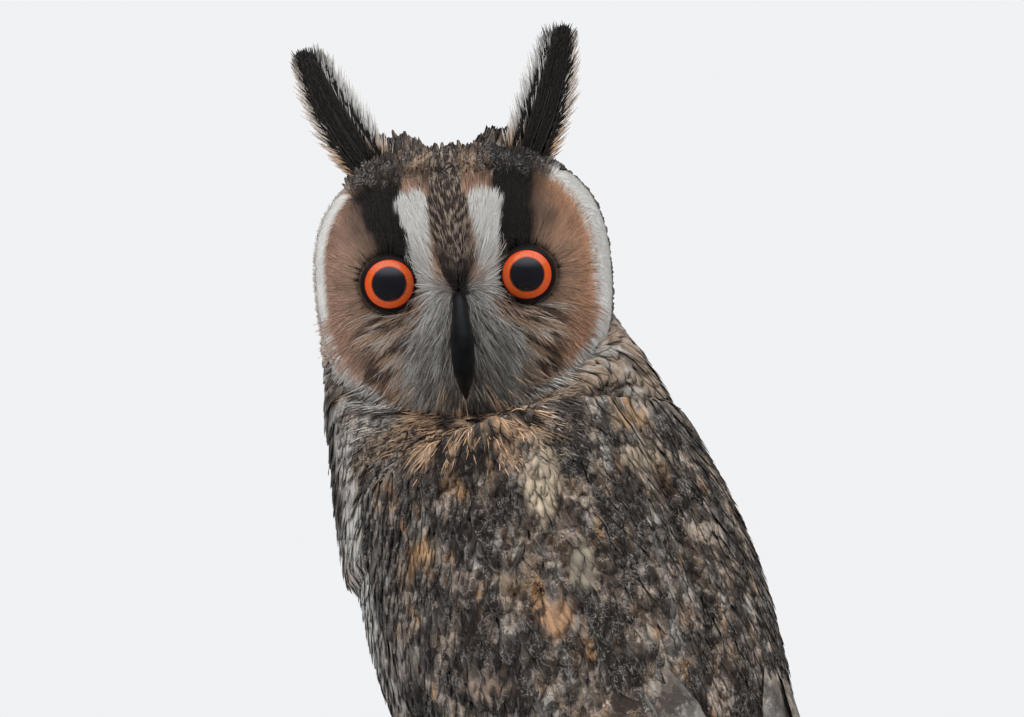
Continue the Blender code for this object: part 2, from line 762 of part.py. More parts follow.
def build_tufts(looks, head_cutter, helpers, collection):
    """The two ear tufts: a fan of long feathers on each side of the crown."""
    for side, name in ((1, "ear_tuft_left"), (-1, "ear_tuft_right")):
        draw = np.random.default_rng(21 + side)
        turn = head_matrix().to_3x3()
        root = np.array((side * TUFT_SPREAD, -3 * MM, FACE_TOP - 8 * MM))
        pieces = [
            ball(name + "_root", root, 7 * MM, helpers, 10, squash=(1.15, 0.62, 1.0)),
        ]
        for i in range(TUFT_FEATHERS):
            t = i / (TUFT_FEATHERS - 1)
            layer = (i % 3) - 1
            lean = side * (TUFT_TILTS[side] + math.radians(between(-7, 6, t)))
            reach = TUFT_LENGTH * (0.62 + 0.4 * math.sin(math.pi * between(0.12, 0.8, t)))
            reach *= draw.uniform(0.97, 1.03)
            path, normals = [], []
            for u in VANE_SHARES:
                bend = lean + side * math.radians(8) * (1 - u)
                out = np.array((math.sin(bend), 0.0, math.cos(bend)))
                aside = side * between(-TUFT_HALF_WIDTH, TUFT_HALF_WIDTH, t) * (1 - 0.35 * u)
                place = root + np.array((aside * MM, 0, 0)) + out * reach * u
                place[1] += (layer * 1.4 - 2.0 * math.sin(math.pi * u) + 1.5 * u) * MM
                path.append(np.array(head_matrix() @ Vector(place)))
                normals.append(np.array(turn @ Vector((0, -1, 0))))
            widths = vane_widths(3.3 * MM, root=0.6, tip=0.2)
            pieces.append(vane(f"{name}_{i}", path, normals, widths, helpers))
        fuse(name, pieces, [head_cutter], looks["dark"], collection)


def branch_radius(x):
    """The branch thins to one end, and has a swelling past each foot."""
    knots = 1.6 * bell(x - 66 * MM, 9 * MM) + 1.2 * bell(x + 58 * MM, 8 * MM)
    return BRANCH_RADIUS - 0.8 * MM * x / (BRANCH_LENGTH / 2) + knots * MM


def build_branch(looks, helpers, collection):
    rings = []
    for x in np.linspace(-BRANCH_LENGTH / 2, BRANCH_LENGTH / 2, 18):
        ring = []
        for angle in np.arange(16) * 2 * math.pi / 16:
            radius = branch_radius(x) * (1 + 0.02 * math.sin(3 * angle + x / (30 * MM)))
            sag = 3 * MM * (x / (BRANCH_LENGTH / 2)) ** 2
            height = PERCH_TOP - BRANCH_RADIUS - sag + radius * math.sin(angle)
            ring.append((x, radius * math.cos(angle), height))
        rings.append(ring)
    branch = fuse("perch_branch", [loft("branch", rings, helpers)], [], looks["bark"], collection)
    return inflated(branch, GAP, helpers)


LEG_SPREAD = 19 * MM
TOE_RADIUS = 3.9 * MM
TOE_STATIONS = 7
TOES = {  # name: (start across, end across, +1 forward or -1 back, how far round the branch)
    "inner_front": (-3.5 * MM, -9.5 * MM, 1, 96),
    "outer_front": (3.5 * MM, 8.5 * MM, 1, 104),
    "hind": (-3.0 * MM, -7.5 * MM, -1, 82),
    "outer_hind": (3.5 * MM, 10.5 * MM, -1, 92),
}


def toe_ring_place(across, direction, turn, radius):
    """A point beside the branch, this many degrees round it from its top."""
    angle = math.radians(turn)
    middle = PERCH_TOP - BRANCH_RADIUS
    return Vector((across, -direction * radius * math.sin(angle), middle + radius * math.cos(angle)))


def toe(name, side, row, collection):
    start, end, direction, reach = row
    curve = bpy.data.curves.new(name, "CURVE")
    curve.dimensions = "3D"
    curve.bevel_depth = 1.0
    curve.bevel_resolution = 1
    curve.use_fill_caps = True
    spline = curve.splines.new("POLY")
    spline.points.add(TOE_STATIONS - 1)
    for k, point in enumerate(spline.points):
        t = k / (TOE_STATIONS - 1)
        across = side * (LEG_SPREAD + between(start, end, t))
        off = BRANCH_RADIUS + TOE_RADIUS + 0.2 * MM
        point.co = (*toe_ring_place(across, direction, reach * t, off), 1)
        point.radius = TOE_RADIUS * (1.08 - 0.22 * t + 0.08 * math.cos(t * 5 * math.pi))
    guide = bpy.data.objects.new(name, curve)
    collection.objects.link(guide)
    mesh = evaluated_mesh(guide)
    bpy.data.objects.remove(guide)
    work = bmesh.new()
    work.from_mesh(mesh)
    bmesh.ops.remove_doubles(work, verts=work.verts, dist=0.01 * MM)
    work.to_mesh(mesh)
    work.free()
    turn_outwards(mesh)
    made = bpy.data.objects.new(name, mesh)
    collection.objects.link(made)
    return made


def claw(name, side, row, collection):
    """A curved claw that goes on from its toe round the branch, and narrows to a point."""
    start, end, direction, reach = row
    slope = (end - start) / reach
    rings = []
    for t in np.linspace(0, 1, 6):
        thick = between(2.3, 0.35, t**0.8) * MM
        turn = reach + 2.0 + 42 * t
        off = BRANCH_RADIUS + between(3.6, 1.5, t) * MM + 1.2 * MM * math.sin(math.pi * t)
        across = side * (LEG_SPREAD + end + slope * 30 * t)
        middle = toe_ring_place(across, direction, turn, off)
        radial = toe_ring_place(0, direction, turn, 1.0) - toe_ring_place(0, direction, turn, 0.0)
        ring = []
        for angle in np.arange(6) * math.pi / 3:
            offset = Vector((1, 0, 0)) * math.cos(angle) + radial * math.sin(angle)
            ring.append(middle + offset * thick)
        rings.append(ring)
    return loft(name, rings, collection)


def build_leg(side_name, side, looks, torso_cutter, branch_cutter, helpers, collection):
    """One leg from the belly down, with its foot and four claws."""
    rings = []
    for t in np.linspace(0, 1, 7):
        height = PERCH_TOP + between(52, 8.5, t) * MM
        radius = between(17, 8.2, t**0.7) * MM
        back = between(10, 0, t) * MM
        rings.append(round_ring(side * LEG_SPREAD, back, height, radius, 14))
    leg = fuse(
        "leg_" + side_name, [loft("shank", rings, helpers)], [torso_cutter], looks["buff"], collection
    )
    leg_cutter = inflated(leg, GAP, helpers)
    rings = []
    for t in np.linspace(0, 1, 5):
        radius = (7.2 + 1.6 * math.sin(math.pi * t)) * MM
        height = PERCH_TOP + between(8.2, -3, t) * MM
        rings.append(round_ring(side * LEG_SPREAD, 0, height, radius, 12))
    pieces = [loft("foot_pad", rings, helpers)]
    pieces += [toe(name, side, row, helpers) for name, row in TOES.items()]
    cutters = [leg_cutter, branch_cutter]
    foot = fuse("foot_" + side_name, pieces, cutters, looks["buff"], collection)
    cutters = [inflated(foot, GAP, helpers), branch_cutter]
    for number, row in enumerate(TOES.values(), 1):
        name = f"claw_{side_name}_{number}"
        fuse(name, [claw(name + "_raw", side, row, helpers)], cutters, looks["horn"], collection)


def round_ring(x, y, height, radius, count):
    return [
        (x + radius * math.cos(angle), y + radius * math.sin(angle), height)
        for angle in np.arange(count) * 2 * math.pi / count
    ]


def neck_rings(around):
    """Rings from the torso's top into the head. They rise least on the side that the face looks to."""
    toward_face = np.array((math.sin(HEAD_TURN), -math.cos(HEAD_TURN), 0.0))
    head_middle = body_point(HEAD_ALONG)
    angles = np.arange(around) * 2 * math.pi / around
    rings = []
    for t in np.linspace(0, 1, NECK_STATIONS):
        ring = []
        for angle in angles:
            start = on_body(TORSO, NECK_BASE + GAP / 2, angle)
            out = np.array((math.sin(angle), math.cos(angle), 0.0))
            facing = float(out @ toward_face)
            rise = between(38, 12, (1 + facing) / 2) * MM
            height = -(10 * MM + COLLAR_SLOPE * COLLAR_RADIUS * facing)
            end = head_middle + out * COLLAR_RADIUS * (1 - 0.35 * max(0.0, facing))
            end = end + np.array((0, 0, height))
            bend = start + ALONG * rise
            ring.append(start * (1 - t) ** 2 + bend * 2 * t * (1 - t) + end * t**2)
        rings.append(ring)
    return rings


def build_torso(looks, helpers, collection):
    low = TORSO[0, 0] * MM
    rings = body_rings(TORSO, low, NECK_BASE - GAP / 2, TORSO_STATIONS, BODY_SIDES)
    torso = loft("torso_loft", rings, helpers)
    torso_cutter = inflated(torso, GAP, helpers)
    fuse("torso", [torso], [], looks["brown"], collection)
    return torso_cutter


def build_wings(looks, cutters, helpers, collection):
    left = [wing_pad(helpers)] + wing_vanes(helpers)
    right = [mirrored(piece, piece.name + "_right", looks["brown"], helpers) for piece in left]
    fuse("wing_left", left, cutters, looks["brown"], collection)
    fuse("wing_right", right, cutters, looks["brown"], collection)


def build_tail(looks, cutters, helpers, collection):
    fuse("tail", tail_pieces(helpers), cutters, looks["brown"], collection)


def build_stand(looks, branch_cutter, helpers, collection):
    profile = [
        (0, BASE_THICKNESS),
        (BASE_RADIUS - BASE_EDGE_STEP, BASE_THICKNESS),
        (BASE_RADIUS - BASE_EDGE_STEP * 0.3, BASE_THICKNESS - BASE_EDGE_STEP * 0.3),
        (BASE_RADIUS, BASE_THICKNESS - BASE_EDGE_STEP),
        (BASE_RADIUS, 0),
        (0, 0),
    ]
    mesh = bpy.data.meshes.new("stand_base")
    edges = [(k, k + 1) for k in range(len(profile) - 1)]
    mesh.from_pydata([(radius, 0, height) for radius, height in profile], edges, [])
    base = bpy.data.objects.new("stand_base", mesh)
    collection.objects.link(base)
    turned = base.modifiers.new("turned", "SCREW")
    turned.steps = turned.render_steps = 56
    turned.use_merge_vertices = True
    turned.merge_threshold = 0.0001
    base.data.materials.append(looks["stand"])
    for side, name in ((1, "stand_rod_left"), (-1, "stand_rod_right")):
        bottom = BASE_THICKNESS + GAP
        height = PERCH_TOP - BRANCH_RADIUS - bottom
        bpy.ops.mesh.primitive_cylinder_add(
            vertices=24,
            radius=ROD_RADIUS,
            depth=height,
            location=(side * ROD_OFFSET, 0, bottom + height / 2),
        )
        rod = bpy.context.object
        rod.name = name + "_blank"
        fuse(name, [rod], [branch_cutter], looks["steel"], collection)


def main():
    clear_scene()
    owl = named_collection("long_eared_owl")
    helpers = named_collection("cutters")
    looks = {
        "brown": material("brown_plumage", (0.16, 0.11, 0.07), 0.85),
        "buff": material("buff_plumage", (0.42, 0.27, 0.15), 0.85),
        "dark": material("dark_plumage", (0.05, 0.04, 0.035), 0.85),
        "horn": material("black_horn", (0.02, 0.022, 0.025), 0.35),
        "eye": material("orange_eye", (0.75, 0.16, 0.02), 0.05),
        "bark": material("bark", (0.14, 0.1, 0.07), 0.9),
        "stand": material("walnut", (0.12, 0.06, 0.03), 0.45),
        "steel": material("steel", (0.35, 0.35, 0.36), 0.35, 1.0),
    }
    branch_cutter = build_branch(looks, helpers, owl)
    head_cutter, neck_cutter = build_head(looks, helpers, owl)
    build_tufts(looks, head_cutter, helpers, owl)
    torso_cutter = build_torso(looks, helpers, owl)
    build_wings(looks, [torso_cutter, neck_cutter], helpers, owl)
    build_tail(looks, [torso_cutter], helpers, owl)
    for side, side_name in ((1, "left"), (-1, "right")):
        build_leg(side_name, side, looks, torso_cutter, branch_cutter, helpers, owl)
    build_stand(looks, branch_cutter, helpers, owl)
    for helper in helpers.objects:
        helper.hide_render = True
        helper.display_type = "WIRE"


main()
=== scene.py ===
"""A long-eared owl looking back over its left shoulder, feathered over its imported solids.

Lengths are in metres and places are in the part's own frame: +Z is up, the bird's left side is +X
and its breast faces -Y.
"""

import math

import bpy
import numpy as np
from bpy.props import FloatProperty, FloatVectorProperty, IntProperty, PointerProperty
from mathutils import Matrix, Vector
from mathutils.bvhtree import BVHTree


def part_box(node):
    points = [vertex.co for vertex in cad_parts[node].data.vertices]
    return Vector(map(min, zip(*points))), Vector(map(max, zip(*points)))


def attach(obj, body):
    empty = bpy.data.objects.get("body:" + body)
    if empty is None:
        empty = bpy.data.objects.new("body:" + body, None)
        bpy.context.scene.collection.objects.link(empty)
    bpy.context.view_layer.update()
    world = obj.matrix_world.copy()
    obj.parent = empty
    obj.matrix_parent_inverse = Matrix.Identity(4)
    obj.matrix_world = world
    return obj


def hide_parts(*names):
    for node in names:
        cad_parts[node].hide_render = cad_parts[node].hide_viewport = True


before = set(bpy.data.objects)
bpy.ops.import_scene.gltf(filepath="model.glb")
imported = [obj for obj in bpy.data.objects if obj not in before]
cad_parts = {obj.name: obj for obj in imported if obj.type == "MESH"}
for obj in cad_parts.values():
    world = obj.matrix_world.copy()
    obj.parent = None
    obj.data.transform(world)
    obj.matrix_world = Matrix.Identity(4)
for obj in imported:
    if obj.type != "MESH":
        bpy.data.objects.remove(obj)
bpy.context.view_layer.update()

bl_info = {
    "name": "Feathered long-eared owl",
    "version": (1, 0, 0),
    "blender": (4, 5, 0),
    "location": "3D View > Sidebar > Owl",
    "description": "Builds a life-size long-eared owl feather by feather",
    "category": "Object",
}

MM = 0.001

# Stand and branch, as the solids have them
PERCH_TOP = 124 * MM
BRANCH_RADIUS = 15 * MM
BRANCH_LENGTH = 196 * MM
BASE_RADIUS = 116 * MM
BASE_THICKNESS = 16 * MM

# Body axis
LEAN = math.radians(26)
CHEST = np.array((0, 4 * MM, PERCH_TOP + 87 * MM))
ACROSS = np.array((1.0, 0.0, 0.0))
ALONG = np.array((0.0, -math.sin(LEAN), math.cos(LEAN)))
BACKWARD = np.array((0.0, math.cos(LEAN), math.sin(LEAN)))

# Rows of (distance along the axis, half width, depth to the breast, depth to the back), in mm
TORSO = np.array(
    [
        (-84, 5, 3, 16),
        (-76, 16, 14, 20),
        (-60, 33, 34, 28),
        (-30, 48, 54, 41),
        (0, 55, 61, 47),
        (28, 57, 62, 50),
        (56, 55, 58, 50),
        (80, 53.5, 54, 49),
    ]
)
WING_BED = np.array(
    [
        (-216, 19, 8, 8.5),
        (-160, 27, 14, 15),
        (-120, 34, 22, 23),
        (-90, 42, 30, 31),
        (-60, 50, 41, 39),
        (-30, 57, 56, 47),
        (0, 60, 62, 51.5),
        (28, 60.5, 62.5, 53),
        (60, 57, 59, 52.5),
        (100, 53, 53, 50),
    ]
)
BREAST_FULLNESS = 0.08  # how much the breast's flanks swell, as a share

# Neck, from the body's axis into a tilted collar inside the head
NECK_BASE = 60 * MM
NECK_RISES = (38 * MM, 12 * MM)  # along the axis before it bends: at the nape, under the face
NECK_RISE_ASIDE = 12 * MM
COLLAR_RADIUS = 37 * MM
COLLAR_SWELL = 5 * MM  # added at the sides
COLLAR_TUCK = 0.55  # share of the radius that is taken off under the face
COLLAR_DROP = 10 * MM  # below the head's middle
COLLAR_SLOPE = 0.75  # downwards to the face
COLLAR_LIFT_ASIDE = 6 * MM
CHIN_DROP = 43 * MM
CHIN_RISE = 3 * MM
CHIN_ENDS = (0.15, 0.6)  # from the side at 0 to the front at 1, where the chin takes over

# Ear tufts, with their tilts outwards on the bird's left and right
TUFT_LENGTH = 47 * MM
TUFT_SPREAD = 22 * MM
TUFT_TILTS = {1: math.radians(22), -1: math.radians(29)}

# Head, with its face in front of the axis through its middle
HEAD_ALONG = 139 * MM
HEAD_TURN = math.radians(135)
HEAD_NOD = math.radians(3)
HEAD_ROLL = math.radians(-4)
FACE_HALF_WIDTH = 45 * MM
FACE_TOP = 39 * MM
FACE_BOTTOM = 44 * MM
FACE_SQUARENESS = 2.6
FACE_FRONT = 25 * MM
RIM_FRONT = 13 * MM
HEAD_BACK = 38 * MM
EYE_RADIUS = 10 * MM
EYE_SPREAD = 21.4 * MM
EYE_FORWARD = 15.5 * MM
IRIS_AHEAD = 6.1 * MM
CORNEA_BULGE = 0.7 * MM
CORNEA_RADIUS = 8.4 * MM
DISH_DEPTH = 5.5 * MM
DISH_WIDTH = 15 * MM
NOSE_HEIGHT = 8.5 * MM
RIM_HEIGHT = 2.6 * MM

SIDES = ((1, "left"), (-1, "right"))


def body_point(along, across=0.0, depth=0.0):
    """Places from distances along the body's axis, to its left and towards its back."""
    along, across, depth = np.broadcast_arrays(along, across, depth)
    return (
        CHEST + along[..., None] * ALONG + across[..., None] * ACROSS + depth[..., None] * BACKWARD
    )


def head_frame():
    matrix = (
        Matrix.Rotation(HEAD_TURN, 4, "Z")
        @ Matrix.Rotation(HEAD_NOD, 4, "X")
        @ Matrix.Rotation(HEAD_ROLL, 4, "Y")
    )
    return np.array(matrix)[:3, :3], body_point(HEAD_ALONG)


HEAD_AXES, HEAD_MIDDLE = head_frame()


def view_axes(azimuth, elevation):
    """A camera's directions to its right, upwards and ahead."""
    right = np.array((math.cos(azimuth), math.sin(azimuth), 0))
    level = np.array((-math.sin(azimuth), math.cos(azimuth), 0))
    ahead = level * math.cos(elevation) - np.array((0, 0, math.sin(elevation)))
    return right, np.cross(right, ahead), ahead


VIEW_AZIMUTH = math.radians(135)
VIEW_ELEVATION = math.radians(-2)
MIDDLE_RIGHT, MIDDLE_DOWN = 16.7, 24.6  # mm from the eyes to the middle of the picture
SENSOR_WIDTH = 36.0


def head_to_world(points):
    return points @ HEAD_AXES.T + HEAD_MIDDLE


def world_to_head(points):
    return (points - HEAD_MIDDLE) @ HEAD_AXES


def in_world(paths, normals):
    """Paths and normals of the head's frame in the part's frame."""
    return head_to_world(paths), normals @ HEAD_AXES.T


def placed(x, y, z, origin):
    """A matrix from three directions and a place."""
    rows = np.eye(4)
    rows[:3, 0], rows[:3, 1], rows[:3, 2], rows[:3, 3] = x, y, z, origin
    return Matrix(rows.tolist())


VIEW_RIGHT, VIEW_UP, VIEW_AHEAD = view_axes(VIEW_AZIMUTH, VIEW_ELEVATION)
EYES_MIDDLE = head_to_world(np.array((0, -EYE_FORWARD - IRIS_AHEAD, 0)))


def view_places(points):
    """Places as the camera sees them: mm to the right of the eyes' middle and above it."""
    off = points - EYES_MIDDLE
    return off @ VIEW_RIGHT / MM, off @ VIEW_UP / MM


PLAIN_PATCHES = 10  # the first ones hide the fine marks, and the later ones keep most of them
BODY_PATCHES = (
    # right and up from the eyes, half width and half height in mm, colour
    (25.4, -61.5, 5.8, 13.5, "#B5A48C"),
    (37.5, -86.0, 4.2, 7.5, "#8A8170"),
    (-11.0, -83.0, 4.4, 4.2, "#B08A60"),
    (30.7, -101.5, 5.0, 5.4, "#B58C68"),
    (15.2, -91.0, 4.6, 3.0, "#94836F"),
    (9.6, -122.5, 6.5, 3.6, "#917C6C"),
    (-28.2, -106.0, 4.4, 16.0, "#ABA8A2"),
    (56.0, -54.5, 7.5, 3.6, "#9C8B77"),
    (53.5, -42.5, 6.0, 2.8, "#A98A67"),
    (-32.5, -78.0, 3.4, 11.0, "#A5A19A"),
    (-23.0, -95.0, 2.4, 14.0, "#2A2421"),
    (35.3, -55.0, 4.6, 8.5, "#2B2623"),
    (-1.0, -79.0, 7.5, 5.0, "#302825"),
    (-13.0, -62.0, 8.0, 5.0, "#3A302B"),
    (50.0, -66.0, 4.0, 7.0, "#2C2521"),
    (16.0, -70.0, 6.5, 4.0, "#2E2623"),
    (4.0, -103.0, 3.2, 9.0, "#332722"),
    (-9.0, -112.0, 2.6, 10.0, "#2F2522"),
    (-17.0, -116.0, 4.6, 7.0, "#8D8279"),
    (1.0, -92.0, 4.5, 4.5, "#857568"),
    (18.0, -112.0, 3.4, 8.0, "#2F2623"),
)


# Sums on arrays


def between(first, last, t):
    return first + (last - first) * t


def bell(x, width):
    return np.exp(-((x / width) ** 2))


def soft(x, low, high):
    """0 below low, 1 above high, and smooth in between. High may be the lesser of the two."""
    t = np.clip((x - low) / (high - low), 0, 1)
    return t * t * (3 - 2 * t)


def unit(vectors):
    return vectors / np.maximum(np.linalg.norm(vectors, axis=-1, keepdims=True), 1e-12)


def circle(count):
    """Angles spaced evenly round a circle."""
    return np.arange(count) * 2 * math.pi / count


def hermite(values, slopes, k, width, t):
    """A smooth curve from row k of values to the next, a share t of the way across."""
    return (
        values[k] * (2 * t**3 - 3 * t**2 + 1)
        + slopes[k] * width * (t**3 - 2 * t**2 + t)
        + values[k + 1] * (3 * t**2 - 2 * t**3)
        + slopes[k + 1] * width * (t**3 - t**2)
    )


def blend(first, last, share):
    """A mix of two colours, or of arrays of colours, by an array of shares."""
    return first + (np.asarray(last) - first) * np.asarray(share)[..., None]


def lattice(points, seed):
    """A random number from 0 to 1 for each whole-numbered place."""
    x, y, z = (points[..., i].astype(np.int64) for i in range(3))
    h = (x * 73856093) ^ (y * 19349663) ^ (z * 83492791) ^ (seed * 2654435761)
    h = (h ^ (h >> 13)) * 1274126177 & 0xFFFFFFFF
    h = (h ^ (h >> 16)) * 2246822519 & 0xFFFFFFFF
    return (h & 0xFFFFFF) / float(0xFFFFFF)


def cloud(points, size, seed=0):
    """Smooth noise from 0 to 1, with blotches about this size across."""
    places = np.asarray(points) / size
    low = np.floor(places)
    t = places - low
    t = t * t * (3 - 2 * t)
    total = 0
    for corner in np.ndindex(2, 2, 2):
        corner = np.array(corner)
        share = np.prod(np.where(corner, t, 1 - t), axis=-1)
        total = total + share * lattice(low + corner, seed)
    return total


def linear(hex_colour):
    """An sRGB hex colour as linear red, green and blue."""
    value = hex_colour.lstrip("#")
    parts = np.array([int(value[i : i + 2], 16) for i in (0, 2, 4)]) / 255
    return np.where(parts <= 0.04045, parts / 12.92, ((parts + 0.055) / 1.055) ** 2.4)


# The bird's surfaces


def station(table, along):
    """Half width and the two depths at places along the axis, smoothly from row to row."""
    places = table[:, 0] * MM
    values = table[:, 1:] * MM
    slopes = np.gradient(values, places, axis=0)
    k = np.clip(np.searchsorted(places, along) - 1, 0, len(places) - 2)
    width = (places[k + 1] - places[k])[..., None]
    t = np.clip((along - places[k])[..., None] / width, 0, 1)
    return hermite(values, slopes, k, width, t)


def on_body(table, along, angle, inset=0.0):
    """Points on the surface that a table gives. Angle 0 is the back and pi / 2 the left side."""
    along, angle = np.broadcast_arrays(np.asarray(along, float), np.asarray(angle, float))
    sizes = np.maximum(station(table, along) - np.asarray(inset)[..., None], 1 * MM)
    behind = np.cos(angle) > 0
    swell = np.where(behind, 1, 1 + BREAST_FULLNESS * np.sin(2 * angle) ** 2)
    depth = np.where(behind, sizes[..., 2], sizes[..., 1]) * np.cos(angle)
    return body_point(along, sizes[..., 0] * np.sin(angle) * swell, depth * swell)


def body_normals(table, along, angle):
    step_along, step_angle = 1 * MM, math.radians(1)
    up = on_body(table, along + step_along, angle) - on_body(table, along - step_along, angle)
    ring = on_body(table, along, angle + step_angle) - on_body(table, along, angle - step_angle)
    return unit(np.cross(up, ring))


def body_places(points):
    """Distance along the body's axis and angle round it, for places near its surface."""
    off = points - CHEST
    along = off @ ALONG
    sizes = station(TORSO, along)
    depth = off @ BACKWARD
    across = (off @ ACROSS) / sizes[..., 0]
    depth = depth / np.where(depth > 0, sizes[..., 2], sizes[..., 1])
    return along, np.arctan2(across, depth)


def face_outline(angle):
    """Distance of the rim from the middle of the face, in a direction seen from the front."""
    across, up = np.cos(angle), np.sin(angle)
    height = np.where(up > 0, FACE_TOP, FACE_BOTTOM)
    power = FACE_SQUARENESS
    reach = (np.abs(across) / FACE_HALF_WIDTH) ** power + (np.abs(up) / height) ** power
    return reach ** (-1 / power)


def face_share(x, z):
    """How far out towards the facial rim a place is, from 0 in the middle to 1 at the rim."""
    return np.hypot(x, z) / face_outline(np.arctan2(z, x))


def face_front(x, z):
    """How far the face stands forward: dished discs, a raised ruff and a nose ridge."""
    out = face_share(x, z)
    front = between(FACE_FRONT, RIM_FRONT, np.minimum(out, 1.3) ** 2.2)
    front = front - DISH_DEPTH * bell(np.hypot(np.abs(x) - EYE_SPREAD, z), DISH_WIDTH)
    ridge = 1 / (1 + np.exp(-(z + 37 * MM) / (3 * MM))) / (1 + np.exp((z - 26 * MM) / (5 * MM)))
    broad = between(6.5 * MM, 10.5 * MM, 1 / (1 + np.exp((z + 14 * MM) / (6 * MM))))
    front = front + NOSE_HEIGHT * bell(x, broad) * ridge
    return front + RIM_HEIGHT * bell(out - 0.93, 0.06)


def face_points(x, z, lift=0.0):
    """Places on the face in the head's frame, raised straight forward by lift."""
    return np.stack((x, -face_front(x, z) - lift, z), axis=-1)


def neck_rings(around, count, inset):
    """Rings from the body's top into the head, as the solid neck has them, drawn in by inset."""
    toward_face = np.array((math.sin(HEAD_TURN), -math.cos(HEAD_TURN), 0.0))
    toward_left = np.array((math.cos(HEAD_TURN), math.sin(HEAD_TURN), 0.0))
    angles = circle(around)
    start = on_body(TORSO, NECK_BASE - 6 * MM, angles, inset)
    out = np.stack((np.sin(angles), np.cos(angles), 0 * angles), axis=-1)
    facing, aside = out @ toward_face, out @ toward_left
    chin = np.interp(facing, CHIN_ENDS, (0, 1))
    rise = between(*NECK_RISES, (1 + facing) / 2) + NECK_RISE_ASIDE * aside
    rise = between(rise, CHIN_RISE, chin)
    reach = COLLAR_RADIUS * (1 - COLLAR_TUCK * np.maximum(0.0, facing)) + COLLAR_SWELL * aside**2
    height = COLLAR_LIFT_ASIDE * aside - COLLAR_DROP - COLLAR_SLOPE * COLLAR_RADIUS * facing
    height = between(height, -CHIN_DROP, chin)
    end = HEAD_MIDDLE + out * (reach - inset)[:, None] + height[:, None] * np.array((0, 0, 1.0))
    bend = start + rise[:, None] * ALONG
    t = np.linspace(0, 1, count)[:, None, None]
    return start * (1 - t) ** 2 + bend * 2 * t * (1 - t) + end * t**2


# Meshes from arrays


def mesh_object(name, points, quads, triangles=None, smooth=True):
    """An object whose mesh has these points, four-sided faces and three-sided faces."""
    triangles = np.zeros((0, 3), int) if triangles is None else np.asarray(triangles)
    quads = np.asarray(quads).reshape(-1, 4)
    corners = np.concatenate((quads.ravel(), triangles.ravel())).astype(np.int32)
    starts = np.concatenate(
        (np.arange(len(quads)) * 4, len(quads) * 4 + np.arange(len(triangles)) * 3)
    ).astype(np.int32)
    mesh = bpy.data.meshes.new(name)
    mesh.vertices.add(len(points))
    mesh.vertices.foreach_set("co", np.asarray(points, np.float32).ravel())
    mesh.loops.add(len(corners))
    mesh.loops.foreach_set("vertex_index", corners)
    mesh.polygons.add(len(starts))
    mesh.polygons.foreach_set("loop_start", starts)
    mesh.polygons.foreach_set("use_smooth", np.full(len(starts), smooth))
    mesh.update(calc_edges=True)
    obj = bpy.data.objects.new(name, mesh)
    bpy.context.scene.collection.objects.link(obj)
    return obj


def corner_indices(mesh):
    corners = np.zeros(len(mesh.loops), np.int32)
    mesh.loops.foreach_get("vertex_index", corners)
    return corners


def set_map(mesh, name, places):
    """A UV map with one place for each vertex."""
    layer = mesh.uv_layers.new(name=name)
    layer.data.foreach_set("uv", places[corner_indices(mesh)].astype(np.float32).ravel())


def set_colour(mesh, name, colours):
    """A colour for each vertex, as an attribute that materials read by name."""
    layer = mesh.color_attributes.new(name, "FLOAT_COLOR", "POINT")
    if colours.shape[1] == 3:
        colours = np.column_stack((colours, np.ones(len(colours))))
    layer.data.foreach_set("color", colours.astype(np.float32).ravel())


def tube_faces(count, around, first=0, capped=True):
    """Faces of a tube of rings: quads, and the caps as fans from each end ring's first point."""
    k, j = np.meshgrid(np.arange(count - 1), np.arange(around), indexing="ij")
    after = (j + 1) % around
    quads = np.stack(
        (k * around + j, (k + 1) * around + j, (k + 1) * around + after, k * around + after), -1
    )
    quads = quads.reshape(-1, 4) + first
    fan = np.arange(1, around - 1)
    low = np.stack((0 * fan, fan, fan + 1), -1)
    top = (count - 1) * around
    high = np.stack((top + 0 * fan, top + fan + 1, top + fan), -1)
    triangles = np.concatenate((low, high)) + first if capped else np.zeros((0, 3), int)
    return quads, triangles


def turn_out(points, quads, triangles):
    """Turns all faces of one closed shape outwards, by the sign of its volume."""
    parts = np.concatenate((triangles, quads[:, [0, 1, 2]], quads[:, [0, 2, 3]]))
    a, b, c = (points[parts[:, i]] for i in range(3))
    if np.einsum("ij,ij->i", a, np.cross(b, c)).sum() < 0:
        return quads[:, ::-1], triangles[:, ::-1]
    return quads, triangles


def tube(rings):
    """Points and outward faces of a closed tube."""
    rings = np.asarray(rings, float)
    points = rings.reshape(-1, 3)
    quads, triangles = tube_faces(*rings.shape[:2])
    middle = points.mean(0)
    quads, triangles = turn_out(points - middle, quads, triangles)
    return points, quads, triangles


def join(shapes):
    """Several shapes of points, quads and triangles as one."""
    points, quads, triangles = [], [], []
    first = 0
    for shape in shapes:
        points.append(shape[0])
        quads.append(shape[1] + first)
        triangles.append(shape[2] + first)
        first += len(shape[0])
    return np.concatenate(points), np.concatenate(quads), np.concatenate(triangles)


def dress(obj, look, replaced=()):
    """Gives a piece its material and its body, and hides the solids that it stands for."""
    obj.data.materials.clear()
    obj.data.materials.append(look)
    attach(obj, "root")
    if replaced:
        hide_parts(*replaced)
    return obj


# Feathers


def frames(paths, normals):
    """Directions along and across each path, and out from the surface."""
    along = unit(np.gradient(paths, axis=1))
    side = unit(np.cross(along, normals))
    return along, side, np.cross(side, along)


